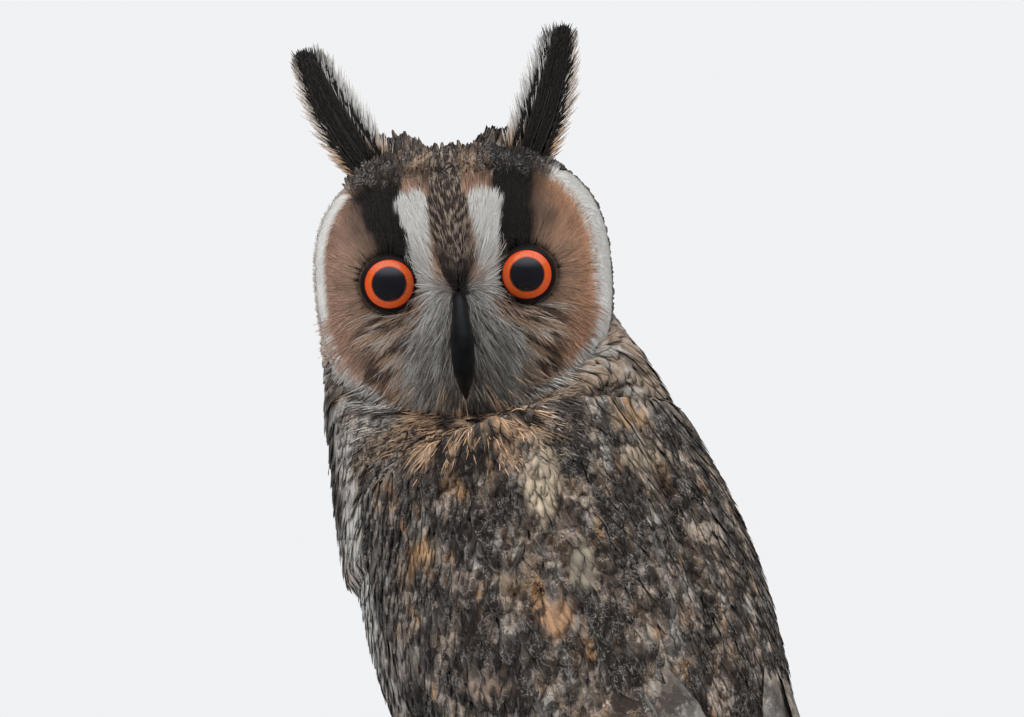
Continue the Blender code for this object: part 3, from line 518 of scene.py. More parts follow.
def vane_mould(rows, columns):
    """One feather's vane: (u, v, face) of its points, and its faces. It is closed round its rim."""
    grid = np.arange((rows + 1) * (columns + 1)).reshape(rows + 1, columns + 1)
    under = grid.copy()
    count = grid.size
    for r in range(1, rows):
        for c in range(1, columns):
            under[r, c] = count
            count += 1
    places = np.zeros((count, 3))
    for r in range(rows + 1):
        for c in range(columns + 1):
            u, v = 2 * c / columns - 1, r / rows
            places[grid[r, c]] = u, v, 0.5
            if under[r, c] != grid[r, c]:
                places[grid[r, c], 2] = 1
                places[under[r, c]] = u, v, 0
    quads = []
    for r in range(rows):
        for c in range(columns):
            quads.append((grid[r, c], grid[r, c + 1], grid[r + 1, c + 1], grid[r + 1, c]))
            quads.append((under[r, c], under[r + 1, c], under[r + 1, c + 1], under[r, c + 1]))
    return places, np.array(quads)


def vanes(paths, normals, half_widths, rng, columns=4, lift=(0.2, 1.6), camber=0.25, ragged=0.12,
          root=0.3, tip=0.45, thick=0.28, tilt=0.0, hug=0.0, point=0.35):
    """Many feathers at once, each a thin closed vane along its path.

    paths and normals hold rows + 1 stations for each feather. lift is the height in mm at root and
    tip. ragged is how unevenly the tip ends, and hug how much the edges fall to the surface.
    """
    count, stations = paths.shape[:2]
    rows = stations - 1
    mould, quads = vane_mould(rows, columns)
    u, v, face = mould.T
    row = np.rint(v * rows).astype(int)
    along, side, out = frames(paths, normals)
    length = np.linalg.norm(np.diff(paths, axis=1), axis=2).sum(1)
    swell = np.sin(math.pi * np.clip(v, 0.02, 1) ** 0.75 * 0.86) ** 0.55
    swell = np.where(v < 0.4, root + (swell - root) * soft(v, 0, 0.42), swell)
    swell = np.where(v > 0.98, tip, swell)
    half = np.asarray(half_widths)[:, None] * swell[None, :]
    pulled = point * u**2 * soft(v, 0.45, 1.0)
    torn = rng.normal(0, ragged, (count, columns + 1))
    torn -= torn.mean(1, keepdims=True)
    column = np.rint((u + 1) / 2 * columns).astype(int)
    step = (-pulled[None, :] * 0.5 + torn[:, column] * soft(v, 0.5, 1.0)[None, :])
    step = step * np.asarray(half_widths)[:, None] * 2
    heights = between(lift[0], lift[1], v**1.3) * MM
    if np.ndim(heights) == 1:
        heights = np.broadcast_to(heights, (count, len(v)))
    heights = heights * rng.uniform(0.8, 1.25, (count, 1))
    heights = heights + camber * MM * (1 - u**2) * soft(v, 0, 0.3) * (1 - 0.7 * v)
    heights = heights - hug * (half * u) ** 2 / (2 * 50 * MM)
    heights = heights + half * u * np.asarray(tilt).reshape(-1, 1)
    heights = heights + np.where(face == 0, -1, 0) * thick * MM * (1 - u**2)
    points = (
        paths[:, row]
        + side[:, row] * (half * u)[..., None]
        + along[:, row] * step[..., None]
        + out[:, row] * heights[..., None]
    )
    owner = np.repeat(np.arange(count), len(mould))
    faces = (np.arange(count)[:, None, None] * len(mould) + quads[None]).reshape(-1, 4)
    shape = np.stack((np.broadcast_to(u, (count, len(u))), np.broadcast_to(v, (count, len(v)))), -1)
    grain = np.stack((half * u / MM, v[None, :] * length[:, None] / MM + step / MM), -1)
    return {
        "points": points.reshape(-1, 3),
        "quads": faces,
        "triangles": np.zeros((0, 3), int),
        "owner": owner,
        "shape": shape.reshape(-1, 2),
        "grain": grain.reshape(-1, 2),
        "facing": out[:, row].reshape(-1, 3),
    }


def strands(paths, normals, widths, lift=(0.1, 1.0), profile=(0.7, 1.0, 0.8, 0.25), high=0.3):
    """Many thin tapered filaments at once, each a closed strip with three edges."""
    count, stations = paths.shape[:2]
    _, side, out = frames(paths, normals)
    v = np.linspace(0, 1, stations)
    thick = np.interp(v, np.linspace(0, 1, len(profile)), profile)
    half = np.asarray(widths)[:, None] * thick[None, :] / 2
    heights = between(np.asarray(lift[0])[..., None], np.asarray(lift[1])[..., None], v**1.2) * MM
    middle = paths + out * np.broadcast_to(heights, (count, stations))[..., None]
    ring = np.stack(
        (
            middle - side * half[..., None],
            middle + side * half[..., None],
            middle + out * (half * high * 2)[..., None],
        ),
        axis=2,
    )
    quads, triangles = tube_faces(stations, 3)
    size = stations * 3
    steps = (np.arange(count) * size)[:, None, None]
    points = ring.reshape(-1, 3)
    first = ring[0].reshape(-1, 3)
    turned_quads, turned_triangles = turn_out(first - first.mean(0), quads, triangles)
    shape = np.zeros((count, stations, 3, 2))
    shape[..., 0] = (-1, 1, 0)
    shape[..., 1] = v[None, :, None]
    length = np.linalg.norm(np.diff(paths, axis=1), axis=2).sum(1)
    grain = shape * np.array((0.3, 1.0))
    grain[..., 1] *= length[:, None, None] / MM
    return {
        "points": points,
        "quads": (turned_quads[None] + steps).reshape(-1, 4),
        "triangles": (turned_triangles[None] + steps).reshape(-1, 3),
        "owner": np.repeat(np.arange(count), size),
        "shape": shape.reshape(-1, 2),
        "grain": grain.reshape(-1, 2),
        "facing": np.repeat(out, 3, axis=1).reshape(-1, 3),
    }


def merged(parts):
    """Several sets of feathers as one, with their colours and marks."""
    result = {}
    first = owners = 0
    for part in parts:
        for key, value in part.items():
            if key in ("quads", "triangles"):
                value = value + first
            elif key == "owner":
                value = value + owners
            result.setdefault(key, []).append(value)
        first += len(part["points"])
        owners += int(part["owner"].max()) + 1
    return {key: np.concatenate(values) for key, values in result.items()}


def body_unwrap(points):
    along, angle = body_places(points)
    return np.stack((angle / (2 * math.pi) + 0.5, np.clip((along + 0.23) / 0.4, 0, 1)), -1)


def head_unwrap(points):
    off = unit(world_to_head(points))
    turn = np.arctan2(off[..., 0], -off[..., 1])
    return np.stack((turn / (2 * math.pi) + 0.5, np.arcsin(off[..., 2]) / math.pi + 0.5), -1)


PATCH = 0.003  # size of one feather's place on the baked map
UNMARKED = (0, 0, 0, 0)


def coat_piece(name, part, look, unwrap, replaced=()):
    """One object from a set of feathers with their colours, marks and maps."""
    obj = mesh_object(name, part["points"], part["quads"], part["triangles"])
    mesh = obj.data
    owner = part["owner"]
    starts = np.searchsorted(owner, np.arange(owner.max() + 1))
    places = 0.01 + 0.98 * unwrap(part["points"][starts])
    rng = np.random.default_rng(len(owner))
    seeds = rng.uniform(0, 400, (owner.max() + 1, 2))
    set_map(mesh, "vane", part["shape"] * (0.5, 1.0) + (0.5, 0.0))
    set_map(mesh, "grain", part["grain"] + seeds[owner])
    set_map(mesh, "OFBake", places[owner] + (part["shape"] * (0.5, 1.0) - (0.0, 0.5)) * PATCH)
    set_colour(mesh, "tint", part["tint"])
    set_colour(mesh, "marks", part["marks"])
    set_colour(mesh, "facing", part["facing"])
    return dress(obj, look, replaced)


def painted(part, tint, marks=UNMARKED, rng=None, spread=0.0):
    """Adds colours and marks to a set of feathers. Marks are streak, bars, specks and pale edge.

    With rng, each feather is a little lighter or darker than the next, by about this spread.
    """
    count = len(part["points"])
    if rng:
        owner = part["owner"]
        tint = tint * rng.lognormal(0, spread, owner.max() + 1)[owner, None]
    part["tint"] = np.broadcast_to(tint, (count, 3)).copy()
    part["marks"] = np.broadcast_to(marks, (count, 4)).copy()
    return part


# The skin under the coat, and ways to lie on it


TRIES = 5  # places tried for each root that is wanted
CLOSEST = 0.8  # the least gap between two roots, as a share of their spacing


class Skin:
    """The bird's bare shape: the nearest place on it, and which way it faces there."""

    def __init__(self, obj):
        mesh = obj.data
        places = np.zeros(len(mesh.vertices) * 3, np.float32)
        mesh.vertices.foreach_get("co", places)
        self.places = places.reshape(-1, 3).astype(float)
        polygons = [tuple(p.vertices) for p in mesh.polygons]
        self.tree = BVHTree.FromPolygons(self.places.tolist(), polygons)
        normals = np.zeros(len(mesh.vertices) * 3, np.float32)
        mesh.vertex_normals.foreach_get("vector", normals)
        normals = normals.reshape(-1, 3).astype(float)
        self.faces = np.array([p[:4] if len(p) > 3 else (*p, p[2]) for p in polygons])
        self.face_normals = unit(normals[self.faces].mean(1))
        self.face_places = self.places[self.faces].mean(1)
        a, b, c, d = (self.places[self.faces[:, i]] for i in range(4))
        self.areas = np.linalg.norm(np.cross(c - a, d - b), axis=1) / 2

    def nearest(self, points):
        find = self.tree.find_nearest
        found = [find(p) for p in points.reshape(-1, 3).tolist()]
        places = np.array([hit[0] for hit in found])
        normals = self.face_normals[[hit[2] for hit in found]]
        return places.reshape(points.shape), normals.reshape(points.shape)

    def scatter(self, spacing, rng):
        """Roots about this far apart: spacing holds one distance for each face, or 0 for none."""
        wanted = np.where(spacing > 0, self.areas / np.maximum(spacing, 1e-6) ** 2, 0) * TRIES
        picks = rng.choice(len(wanted), int(wanted.sum()), p=wanted / wanted.sum())
        shares = rng.dirichlet((1, 1, 1, 1), len(picks))
        points = np.einsum("ij,ijk->ik", shares, self.places[self.faces[picks]])
        gaps = spacing[picks]
        cell = 2.5 * MM
        taken, kept = {}, []
        for i, (point, gap) in enumerate(zip(points.tolist(), gaps.tolist())):
            x, y, z = (int(c // cell) for c in point)
            reach = int(gap // cell) + 1
            near = (
                other
                for dx in range(-reach, reach + 1)
                for dy in range(-reach, reach + 1)
                for dz in range(-reach, reach + 1)
                for other in taken.get((x + dx, y + dy, z + dz), ())
            )
            if all(math.dist(point, other) > gap * CLOSEST for other in near):
                taken.setdefault((x, y, z), []).append(point)
                kept.append(i)
        return points[kept], self.face_normals[picks[kept]]

    def walk(self, roots, lie, lengths, steps):
        """Paths that follow the skin from each root, the way that lie(points, normals) gives."""
        points, normals = self.nearest(roots)
        paths, facing = [points], [normals]
        for _ in range(steps):
            way = unit(lie(points, normals))
            way = unit(way - (way * normals).sum(-1, keepdims=True) * normals)
            points, normals = self.nearest(points + way * (lengths / steps)[:, None])
            paths.append(points)
            facing.append(normals)
        return np.stack(paths, 1), np.stack(facing, 1)


def head_shell(around=80, front=22, back=14, inset=0.0):
    """The head's outside as rings in the head's frame, drawn in by inset."""
    angles = circle(around)
    outline = face_outline(angles)
    rings = []
    for out in np.linspace(0.03, 1, front):
        reach = outline * out * (1 - inset / (42 * MM) * out)
        x, z = reach * np.cos(angles), reach * np.sin(angles)
        flat = outline * out
        y = -face_front(flat * np.cos(angles), flat * np.sin(angles)) + inset
        rings.append(np.stack((x, y, z), -1))
    for turn in np.linspace(0, math.pi / 2, back + 1)[1:]:
        reach = (
            (outline - inset) * max(math.cos(turn), 0.03) ** 0.8 * (1 + 0.03 * math.sin(2 * turn))
        )
        y = -RIM_FRONT + (HEAD_BACK - inset + RIM_FRONT) * math.sin(turn)
        rings.append(
            np.stack((reach * np.cos(angles), np.full(around, y), reach * np.sin(angles)), -1)
        )
    return np.array(rings)


def round_rings(xs, ys, heights, radii, around=20):
    angles = circle(around)
    xs, ys, heights, radii = (np.asarray(a, float)[:, None] for a in (xs, ys, heights, radii))
    x, y = xs + radii * np.cos(angles), ys + radii * np.sin(angles)
    return np.stack((x, y, np.broadcast_to(heights, x.shape)), -1)


LEG_SPREAD = 19 * MM
TOE_RADIUS = 3.9 * MM
TOES = (  # (start across, end across, +1 forward or -1 back, degrees round the branch)
    (-3.5 * MM, -9.5 * MM, 1, 96),
    (3.5 * MM, 8.5 * MM, 1, 104),
    (-3.0 * MM, -7.5 * MM, -1, 82),
    (3.5 * MM, 10.5 * MM, -1, 92),
)


def round_branch(across, direction, degrees, radius):
    """Places beside the branch, so many degrees round it from its top."""
    angle = np.radians(degrees)
    middle = PERCH_TOP - BRANCH_RADIUS
    return np.stack(
        np.broadcast_arrays(
            across, -direction * radius * np.sin(angle), middle + radius * np.cos(angle)
        ),
        -1,
    )


def ring_along(path, radii, around, flat=1.0):
    """Rings round a path, with the first direction of each ring as level as can be."""
    along = unit(np.gradient(path, axis=0))
    side = unit(np.cross(along, np.array((0.0, 0.3, 1.0))) + 1e-9)
    out = np.cross(side, along)
    angles = circle(around)
    radii = np.asarray(radii)[:, None, None]
    return path[:, None] + radii * (
        side[:, None] * np.cos(angles)[None, :, None]
        + flat * out[:, None] * np.sin(angles)[None, :, None]
    )


def toe_path(side, toe, count=14):
    start, end, direction, reach = toe
    t = np.linspace(0, 1, count)
    across = side * (LEG_SPREAD + between(start, end, t))
    return round_branch(across, direction, reach * t, BRANCH_RADIUS + TOE_RADIUS + 0.2 * MM)


def toe_radii(count=14):
    t = np.linspace(0, 1, count)
    return TOE_RADIUS * (1.0 - 0.2 * t + 0.09 * np.cos(t * 5 * math.pi))


FLESH = ("head", "neck", "torso", "leg_left", "leg_right", "foot_left", "foot_right")


def skin_shapes(depth):
    """Closed shapes that together make the bird's flesh, drawn in by the coat's depth."""
    angles = circle(72)
    alongs = np.linspace(-83 * MM, 60 * MM, 40)
    rings = np.array([on_body(TORSO, along, angles, depth) for along in alongs])
    shapes = [tube(rings)]
    for side in (1, -1):
        pad_alongs = np.linspace(-50 * MM, 74 * MM, 30)
        rings = []
        for along in pad_alongs:
            share = (74 * MM - along) / (124 * MM)
            swell = math.sin(math.pi * between(0.04, 0.96, share)) ** 0.5
            turn = np.radians(np.linspace(0, 118, 30))
            edge = np.sin(np.linspace(0.0, math.pi, 30)) ** 0.4
            lift = between(-5.0, 1.2, edge * swell) * MM
            outer = (
                on_body(WING_BED, along, turn) + body_normals(WING_BED, along, turn) * lift[:, None]
            )
            inner = on_body(WING_BED, along, turn[::-1], 14 * MM)
            ring = np.concatenate((outer, inner))
            ring[:, 0] *= side
            rings.append(ring)
        shapes.append(tube(rings))
    left = np.clip(np.sin(angles) * VIEW_RIGHT[0] + np.cos(angles) * VIEW_RIGHT[1], -1, 0)
    shapes.append(tube(neck_rings(72, 22, depth - 3 * MM * left**4)))
    shapes.append(tube(head_to_world(head_shell(inset=1.2 * MM))))
    for side in (1, -1):
        t = np.linspace(0, 1, 12)
        x = np.full(12, side * LEG_SPREAD)
        heights = PERCH_TOP + between(52, 2, t) * MM
        radii = between(15, 6.4, t**0.7) * MM
        shapes.append(tube(round_rings(x, between(10, 0, t) * MM, heights, radii)))
        t = np.linspace(0, 1, 6)
        x = np.full(6, side * LEG_SPREAD)
        radii = (5.8 + 1.5 * np.sin(math.pi * t)) * MM
        shapes.append(tube(round_rings(x, 0 * t, PERCH_TOP + between(9, 0.6, t) * MM, radii)))
        for toe in TOES:
            shapes.append(tube(ring_along(toe_path(side, toe), toe_radii() - 0.5 * MM, 12)))
    return join(shapes)


def make_skin(depth, voxel):
    """One closed skin: the flesh shapes merged into a single smooth surface."""
    points, quads, triangles = skin_shapes(depth)
    obj = mesh_object("skin", points, quads, triangles)
    merge = obj.modifiers.new("merge", "REMESH")
    merge.mode = "VOXEL"
    merge.voxel_size = voxel
    ease = obj.modifiers.new("ease", "SMOOTH")
    ease.factor = 0.5
    ease.iterations = 6
    bpy.context.view_layer.update()
    graph = bpy.context.evaluated_depsgraph_get()
    mesh = bpy.data.meshes.new_from_object(obj.evaluated_get(graph))
    obj.modifiers.clear()
    obj.data = mesh
    mesh.polygons.foreach_set("use_smooth", np.ones(len(mesh.polygons), bool))
    return obj


# Colours by place


def colour_of(name):
    return np.array(getattr(bpy.context.scene.owl_colours, name)[:3])


RING_ASIDE = 21.6  # mm from the face's middle to the middle of the dark ring round an eye


def face_colours(x, z, places, seed=0):
    """The face's colours at places seen from the front: discs, white brows, bristles and stripe."""
    x_mm, z_mm = x / MM, z / MM
    s = np.abs(x_mm)
    lean = np.abs(x_mm + 1.6 * np.clip(z_mm / 22, 0, 1.2))
    out = face_share(x, z)
    eye = np.hypot(s - RING_ASIDE, z_mm)
    turn = np.arctan2(s - RING_ASIDE, -z_mm - 2)
    fine = cloud(places, 1.1 * MM, seed + 1) - 0.5
    rough = cloud(places, 3.2 * MM, seed + 2) - 0.5
    broad = cloud(places, 9 * MM, seed + 3) - 0.5
    brush = cloud(np.stack((turn * 15, eye * 0.09, 0 * turn), -1), 1.0, seed + 5)
    tan, white, grey = colour_of("disc"), colour_of("white"), colour_of("bristle")
    black, brown, buff = colour_of("black"), colour_of("brown"), colour_of("buff")
    right = soft(x_mm, -8, 8)
    warm = blend(linear("#9F7F6D"), linear("#A17A60"), right)
    colour = blend(tan, warm, soft(out + 0.15 * broad, 0.5, 0.86))
    colour = blend(colour, linear("#6E5949"), soft(eye + rough * 5, 17, 9.5) * 0.6)
    colour = colour * (0.88 + 0.22 * brush)[..., None]
    upper = soft(z_mm + rough * 10 + 0.2 * s, 31, 40) * between(1.0, 0.6, right)
    colour = blend(
        colour, blend(brown * 0.95, buff * 0.8, soft(fine + rough, 0.0, 0.35) * 0.7), upper * 0.85
    )
    ray_turn, away = np.arctan2(z_mm + 5, s), np.hypot(s, z_mm + 5)
    ray = cloud(np.stack((ray_turn * 17, away * 0.11, 0 * away), -1), 1.0, seed + 4)
    thin = cloud(np.stack((ray_turn * 33, away * 0.16, 0 * away), -1), 1.0, seed + 8)
    under = (
        soft(z_mm, -6.5, -11) * soft(z_mm + rough * 6, -44, -36) * soft(s, 11, 15)
        * soft(s + rough * 9, 34, 24)
    )
    streaky = blend(brown * 0.62, between(buff, tan, 0.4), soft(ray * 0.6 + thin * 0.4, 0.4, 0.56))
    streaky = blend(streaky, between(buff, white, 0.6), soft(thin, 0.6, 0.72) * 0.8)
    colour = blend(colour, streaky, under * 0.92)
    start = between(0.95, 0.915, right) - 0.08 * soft(z_mm, -14, -34)
    rim = soft(out + rough * 0.02 + fine * 0.02, start - 0.02, start + 0.015)
    colour = blend(colour, white * 0.95, rim * soft(z_mm, 38, 33))
    reach = between(20, 12, soft(z_mm, -26, -4))
    bristly = (
        soft(z_mm + rough * 3, 2, -4) * soft(s + rough * 6, reach, reach - 5) * soft(z_mm, -50, -42)
    )
    silver = blend(between(grey, white, 0.62), grey * 0.55, soft(thin + 0.4 * rough, 0.5, 0.68))
    silver = blend(silver, grey * 0.5, soft(s, 7.5, 3.5) * 0.6)
    silver = blend(
        silver, grey * 0.45,
        soft(np.abs(s - 9) + rough * 3, 4.5, 1.5) * soft(z_mm + rough * 5, -10, -16) * 0.5,
    )
    silver = blend(
        silver, between(grey, white, 0.75), soft(z_mm + rough * 4, -27, -33) * soft(s, 4, 8) * 0.6
    )
    colour = blend(colour, silver, bristly)
    middle = np.interp(z_mm, (1.5, 10, 23), (8.1, 9.3, 11.2))
    half = np.interp(z_mm, (-6, 1.5, 10, 16, 23, 26, 28.5), (2.0, 2.8, 3.6, 4.6, 5.6, 4.4, 1.2))
    patch = soft(np.abs(lean - middle) + rough * 1.2 + fine * 0.9, half + 0.7, half - 0.8)
    patch = (
        patch * soft(z_mm + rough * 2 + 0.1 * (lean - middle + 1) ** 2, 27.5, 25.5)
        * soft(z_mm, -10, -3)
    )
    outer = between(
        np.interp(z_mm, (0, 10, 30), (25.5, 27.5, 30.5)),
        np.interp(z_mm, (0, 10, 30), (26.5, 27.5, 32.5)), right,
    )
    outer = outer + rough * between(8, 4, right)
    band = (
        soft(lean, outer + 2.5, outer - 5.5) * soft(lean + rough * 2, 12.6, 14.6) * soft(z_mm, 1, 6)
    )
    fading = (
        soft(lean + rough * 6 + 0.35 * z_mm, 45, 33) * soft(lean, 17, 20) * soft(z_mm, 8, 16) * 0.6
    )
    band = np.maximum(band, fading)
    band = band * soft(z_mm + rough * 7, between(38, 44, right), between(28, 36, right))
    ring = soft(eye + rough * 0.5, 9.9, 8.9)
    wedge = (
        soft(s + rough, 11.2, 12.6) * soft(s, 20, 17) * soft(z_mm + rough * 2, -8.5, -5.5)
        * soft(z_mm, 20, 12)
    )
    top = (
        soft(z_mm + rough * 5, 27, 31) * soft(lean + rough * 5, 8, 11)
        * soft(lean + rough * 6, 34, 28)
    )
    mottle = soft(cloud(places, 1.9 * MM, seed + 7), 0.5, 0.66)
    colour = blend(
        colour, blend(between(black, brown, 0.65), buff * 0.85, mottle * 0.38), top * 0.95
    )
    dark = np.maximum(np.maximum(band, ring), wedge)
    colour = blend(colour, black, dark)
    colour = blend(colour, blend(white, between(grey, white, 0.5), soft(z_mm, 9, -3)), patch)
    wide = np.interp(z_mm, (-8, -2, 4, 13, 23, 30, 40), (1.4, 2.4, 4.4, 5.5, 5.5, 4.6, 4.0))
    stripe = soft(lean + rough * 1.0, wide + 0.5, wide - 0.7) * soft(z_mm, -11, -7)
    chevron = np.sin((z_mm - 0.75 * lean + 3.5 * rough + 2.0 * fine) * 2 * math.pi / 3.1)
    scaly = blend(
        brown * 0.6, between(buff, white, 0.3), soft(chevron, 0.25, 0.85) * 0.6 * soft(z_mm, 1, 7)
    )
    saddle = soft(lean + rough * 4, 11, 8) * soft(z_mm + rough * 3, 25, 30)
    colour = blend(
        colour, blend(between(buff, brown, 0.45), brown * 0.7, mottle), saddle * 0.9 * (1 - patch)
    )
    return blend(colour, blend(scaly, black, soft(z_mm, 3, -1)), stripe)


def coat_colours(points, seed=0):
    """Colour and marks of the contour feathers at these places."""
    along, angle = body_places(points)
    degrees = np.abs(np.degrees(angle))
    head = world_to_head(points) / MM
    brown, buff, ochre = colour_of("brown"), colour_of("buff"), colour_of("ochre")
    white, grey = colour_of("white"), colour_of("bristle")
    flow = np.stack((angle * 55, along / MM, 0 * along), -1)
    streaks = cloud(flow / (3.2, 15, 1), 1.0, seed + 11)
    thin = cloud(flow / (1.7, 10, 1), 1.0, seed + 12)
    small = cloud(points, 4.4 * MM, seed + 13)
    broad = cloud(points, 11 * MM, seed + 14)
    dusk = blend(
        brown * 0.72, between(brown, buff, 0.45), soft(small * 0.5 + broad * 0.5, 0.36, 0.5)
    )
    ground = blend(
        dusk, between(buff, white, 0.25), soft(small * 0.55 + broad * 0.45, 0.5, 0.62) * 0.9
    )
    ground = blend(ground, ochre * 0.9, soft(cloud(points, 5.5 * MM, seed + 15), 0.7, 0.82) * 0.8)
    ground = blend(ground, white * 0.8, soft(thin * 0.5 + small * 0.5, 0.6, 0.68) * 0.6)
    back = blend(ground, brown * 0.5, soft(streaks * 0.7 + small * 0.3, 0.5, 0.4) * 0.95)
    nape = blend(
        between(buff, grey, 0.3) * 1.1, brown * 0.55,
        soft(thin * 0.6 + streaks * 0.4, 0.54, 0.42) * 0.9,
    )
    nape = blend(
        nape, white * 0.85, soft(cloud(flow / (1.4, 9, 1), 1.0, seed + 16), 0.62, 0.74) * 0.7
    )
    near_head = np.linalg.norm(head - (0, 0, -8), axis=-1)
    nape_share = soft(near_head + 14 * (small - 0.5), 88, 66)
    colour = blend(back, nape, nape_share * 0.9)
    pale = blend(
        between(white * 0.95, buff, 0.16), between(buff, white, 0.4),
        soft(broad + 0.25 * soft(along, 40 * MM, -60 * MM), 0.4, 0.75),
    )
    breast = blend(pale, brown * 0.6, soft(streaks * 0.7 + thin * 0.3, 0.48, 0.38) * 0.95)
    front = soft(degrees + 16 * (streaks - 0.5), 114, 130)
    colour = blend(colour, breast, front)
    right, up = view_places(points)
    chin = (
        soft(np.hypot(head[..., 0] / 1.2, head[..., 2] + 42) + 7 * (small - 0.5), 24, 14)
        * soft(head[..., 1], -4, -12)
    )
    ray_turn, away = np.arctan2(right - 2, -up - 28), np.hypot(right - 2, up + 28)
    ray = cloud(np.stack((ray_turn * 9, away * 0.12, 0 * away), -1), 1.0, seed + 17)
    ray = (
        0.6 * ray + 0.4 * cloud(np.stack((ray_turn * 18, away * 0.2, 0 * away), -1), 1.0, seed + 18)
    )
    tuft = blend(brown * 0.5, between(between(ochre, buff, 0.7), white, 0.1), soft(ray, 0.48, 0.58))
    colour = blend(colour, tuft, chin)
    near = soft(points @ VIEW_AHEAD - EYES_MIDDLE @ VIEW_AHEAD, 8 * MM, -8 * MM)
    smooth = np.zeros(len(points))
    for number, (x, y, half_width, half_height, code) in enumerate(BODY_PATCHES):
        off = (
            np.hypot((right - x) / half_width, (up - y) / half_height) + 0.7 * (thin - 0.5)
            + 0.4 * (small - 0.5)
        )
        share = soft(off, 1.2, 0.75) * (near if x > -27 else 1.0)
        colour = blend(colour, linear(code), share * 0.92)
        smooth = np.maximum(smooth, share * (0.9 if number < PLAIN_PATCHES else 0.2))
    specks = (
        between(0.9, 0.2, np.maximum(front, nape_share * 0.85)) * (1 - 0.85 * smooth)
        * (1 - 0.7 * chin)
    )
    streak = between(0.35, 0.5, front) * (1 - smooth)
    bars = between(0.05, 0.2, front) * (1 - smooth)
    return colour, np.stack((streak, bars, specks, 0.3 + 0 * specks), -1)


# Materials


MATHS, VECTOR, STEP, MIX = (
    "ShaderNode" + kind for kind in ("Math", "VectorMath", "MapRange", "Mix")
)
NOISE, BUMP, PLACE, ATTRIBUTE = (
    "ShaderNode" + kind for kind in ("TexNoise", "Bump", "TexCoord", "Attribute")
)
EASE = "SMOOTHSTEP"


def plug(tree, socket, value):
    """Sets a socket, or links it to another socket or to a node's first output in use."""
    if isinstance(value, bpy.types.Node):
        value = next(out for out in value.outputs if out.enabled)
    if isinstance(value, bpy.types.NodeSocket):
        tree.links.new(value, socket)
    elif value is not None:
        socket.default_value = value


def add(tree, kind, *values, named=None, **settings):
    """One node with its settings. Its sockets are set or linked in order, or by name."""
    node = tree.nodes.new(kind)
    for name, value in settings.items():
        setattr(node, name, value)
    for socket, value in zip([socket for socket in node.inputs if socket.enabled], values):
        plug(tree, socket, value)
    for name, value in (named or {}).items():
        plug(tree, node.inputs[name], value)
    return node


def feed(tree, shader, **values):
    """Sets or links a shader's sockets, each named with _ for a space."""
    for name, value in values.items():
        plug(tree, shader.inputs[name.replace("_", " ")], value)


def new_material(name, **values):
    material = bpy.data.materials.new(name)
    material.use_nodes = True
    shader = material.node_tree.nodes["Principled BSDF"]
    feed(material.node_tree, shader, **values)
    return material, material.node_tree, shader


def colour4(colour):
    return (*[float(part) for part in colour], 1.0)


def tone(hex_colour):
    return colour4(linear(hex_colour))


def coat_normal(tree, share):
    """The way the coat faces, mixed with the way that each vane does, so that it reads as soft.

    A vane's underside and edges, which face away from the coat, keep their own way.
    """
    coat_way = add(tree, ATTRIBUTE, attribute_name="facing").outputs["Vector"]
    own_way = add(tree, "ShaderNodeNewGeometry").outputs["Normal"]
    alike = add(tree, VECTOR, coat_way, own_way, operation="DOT_PRODUCT").outputs["Value"]
    pull = add(tree, STEP, alike, 0.0, 0.6, 0.0, share, interpolation_type=EASE)
    pulled = add(tree, VECTOR, coat_way, operation="SCALE", named={"Scale": pull})
    both = add(tree, VECTOR, pulled, own_way, operation="ADD")
    return add(tree, VECTOR, both, operation="NORMALIZE")


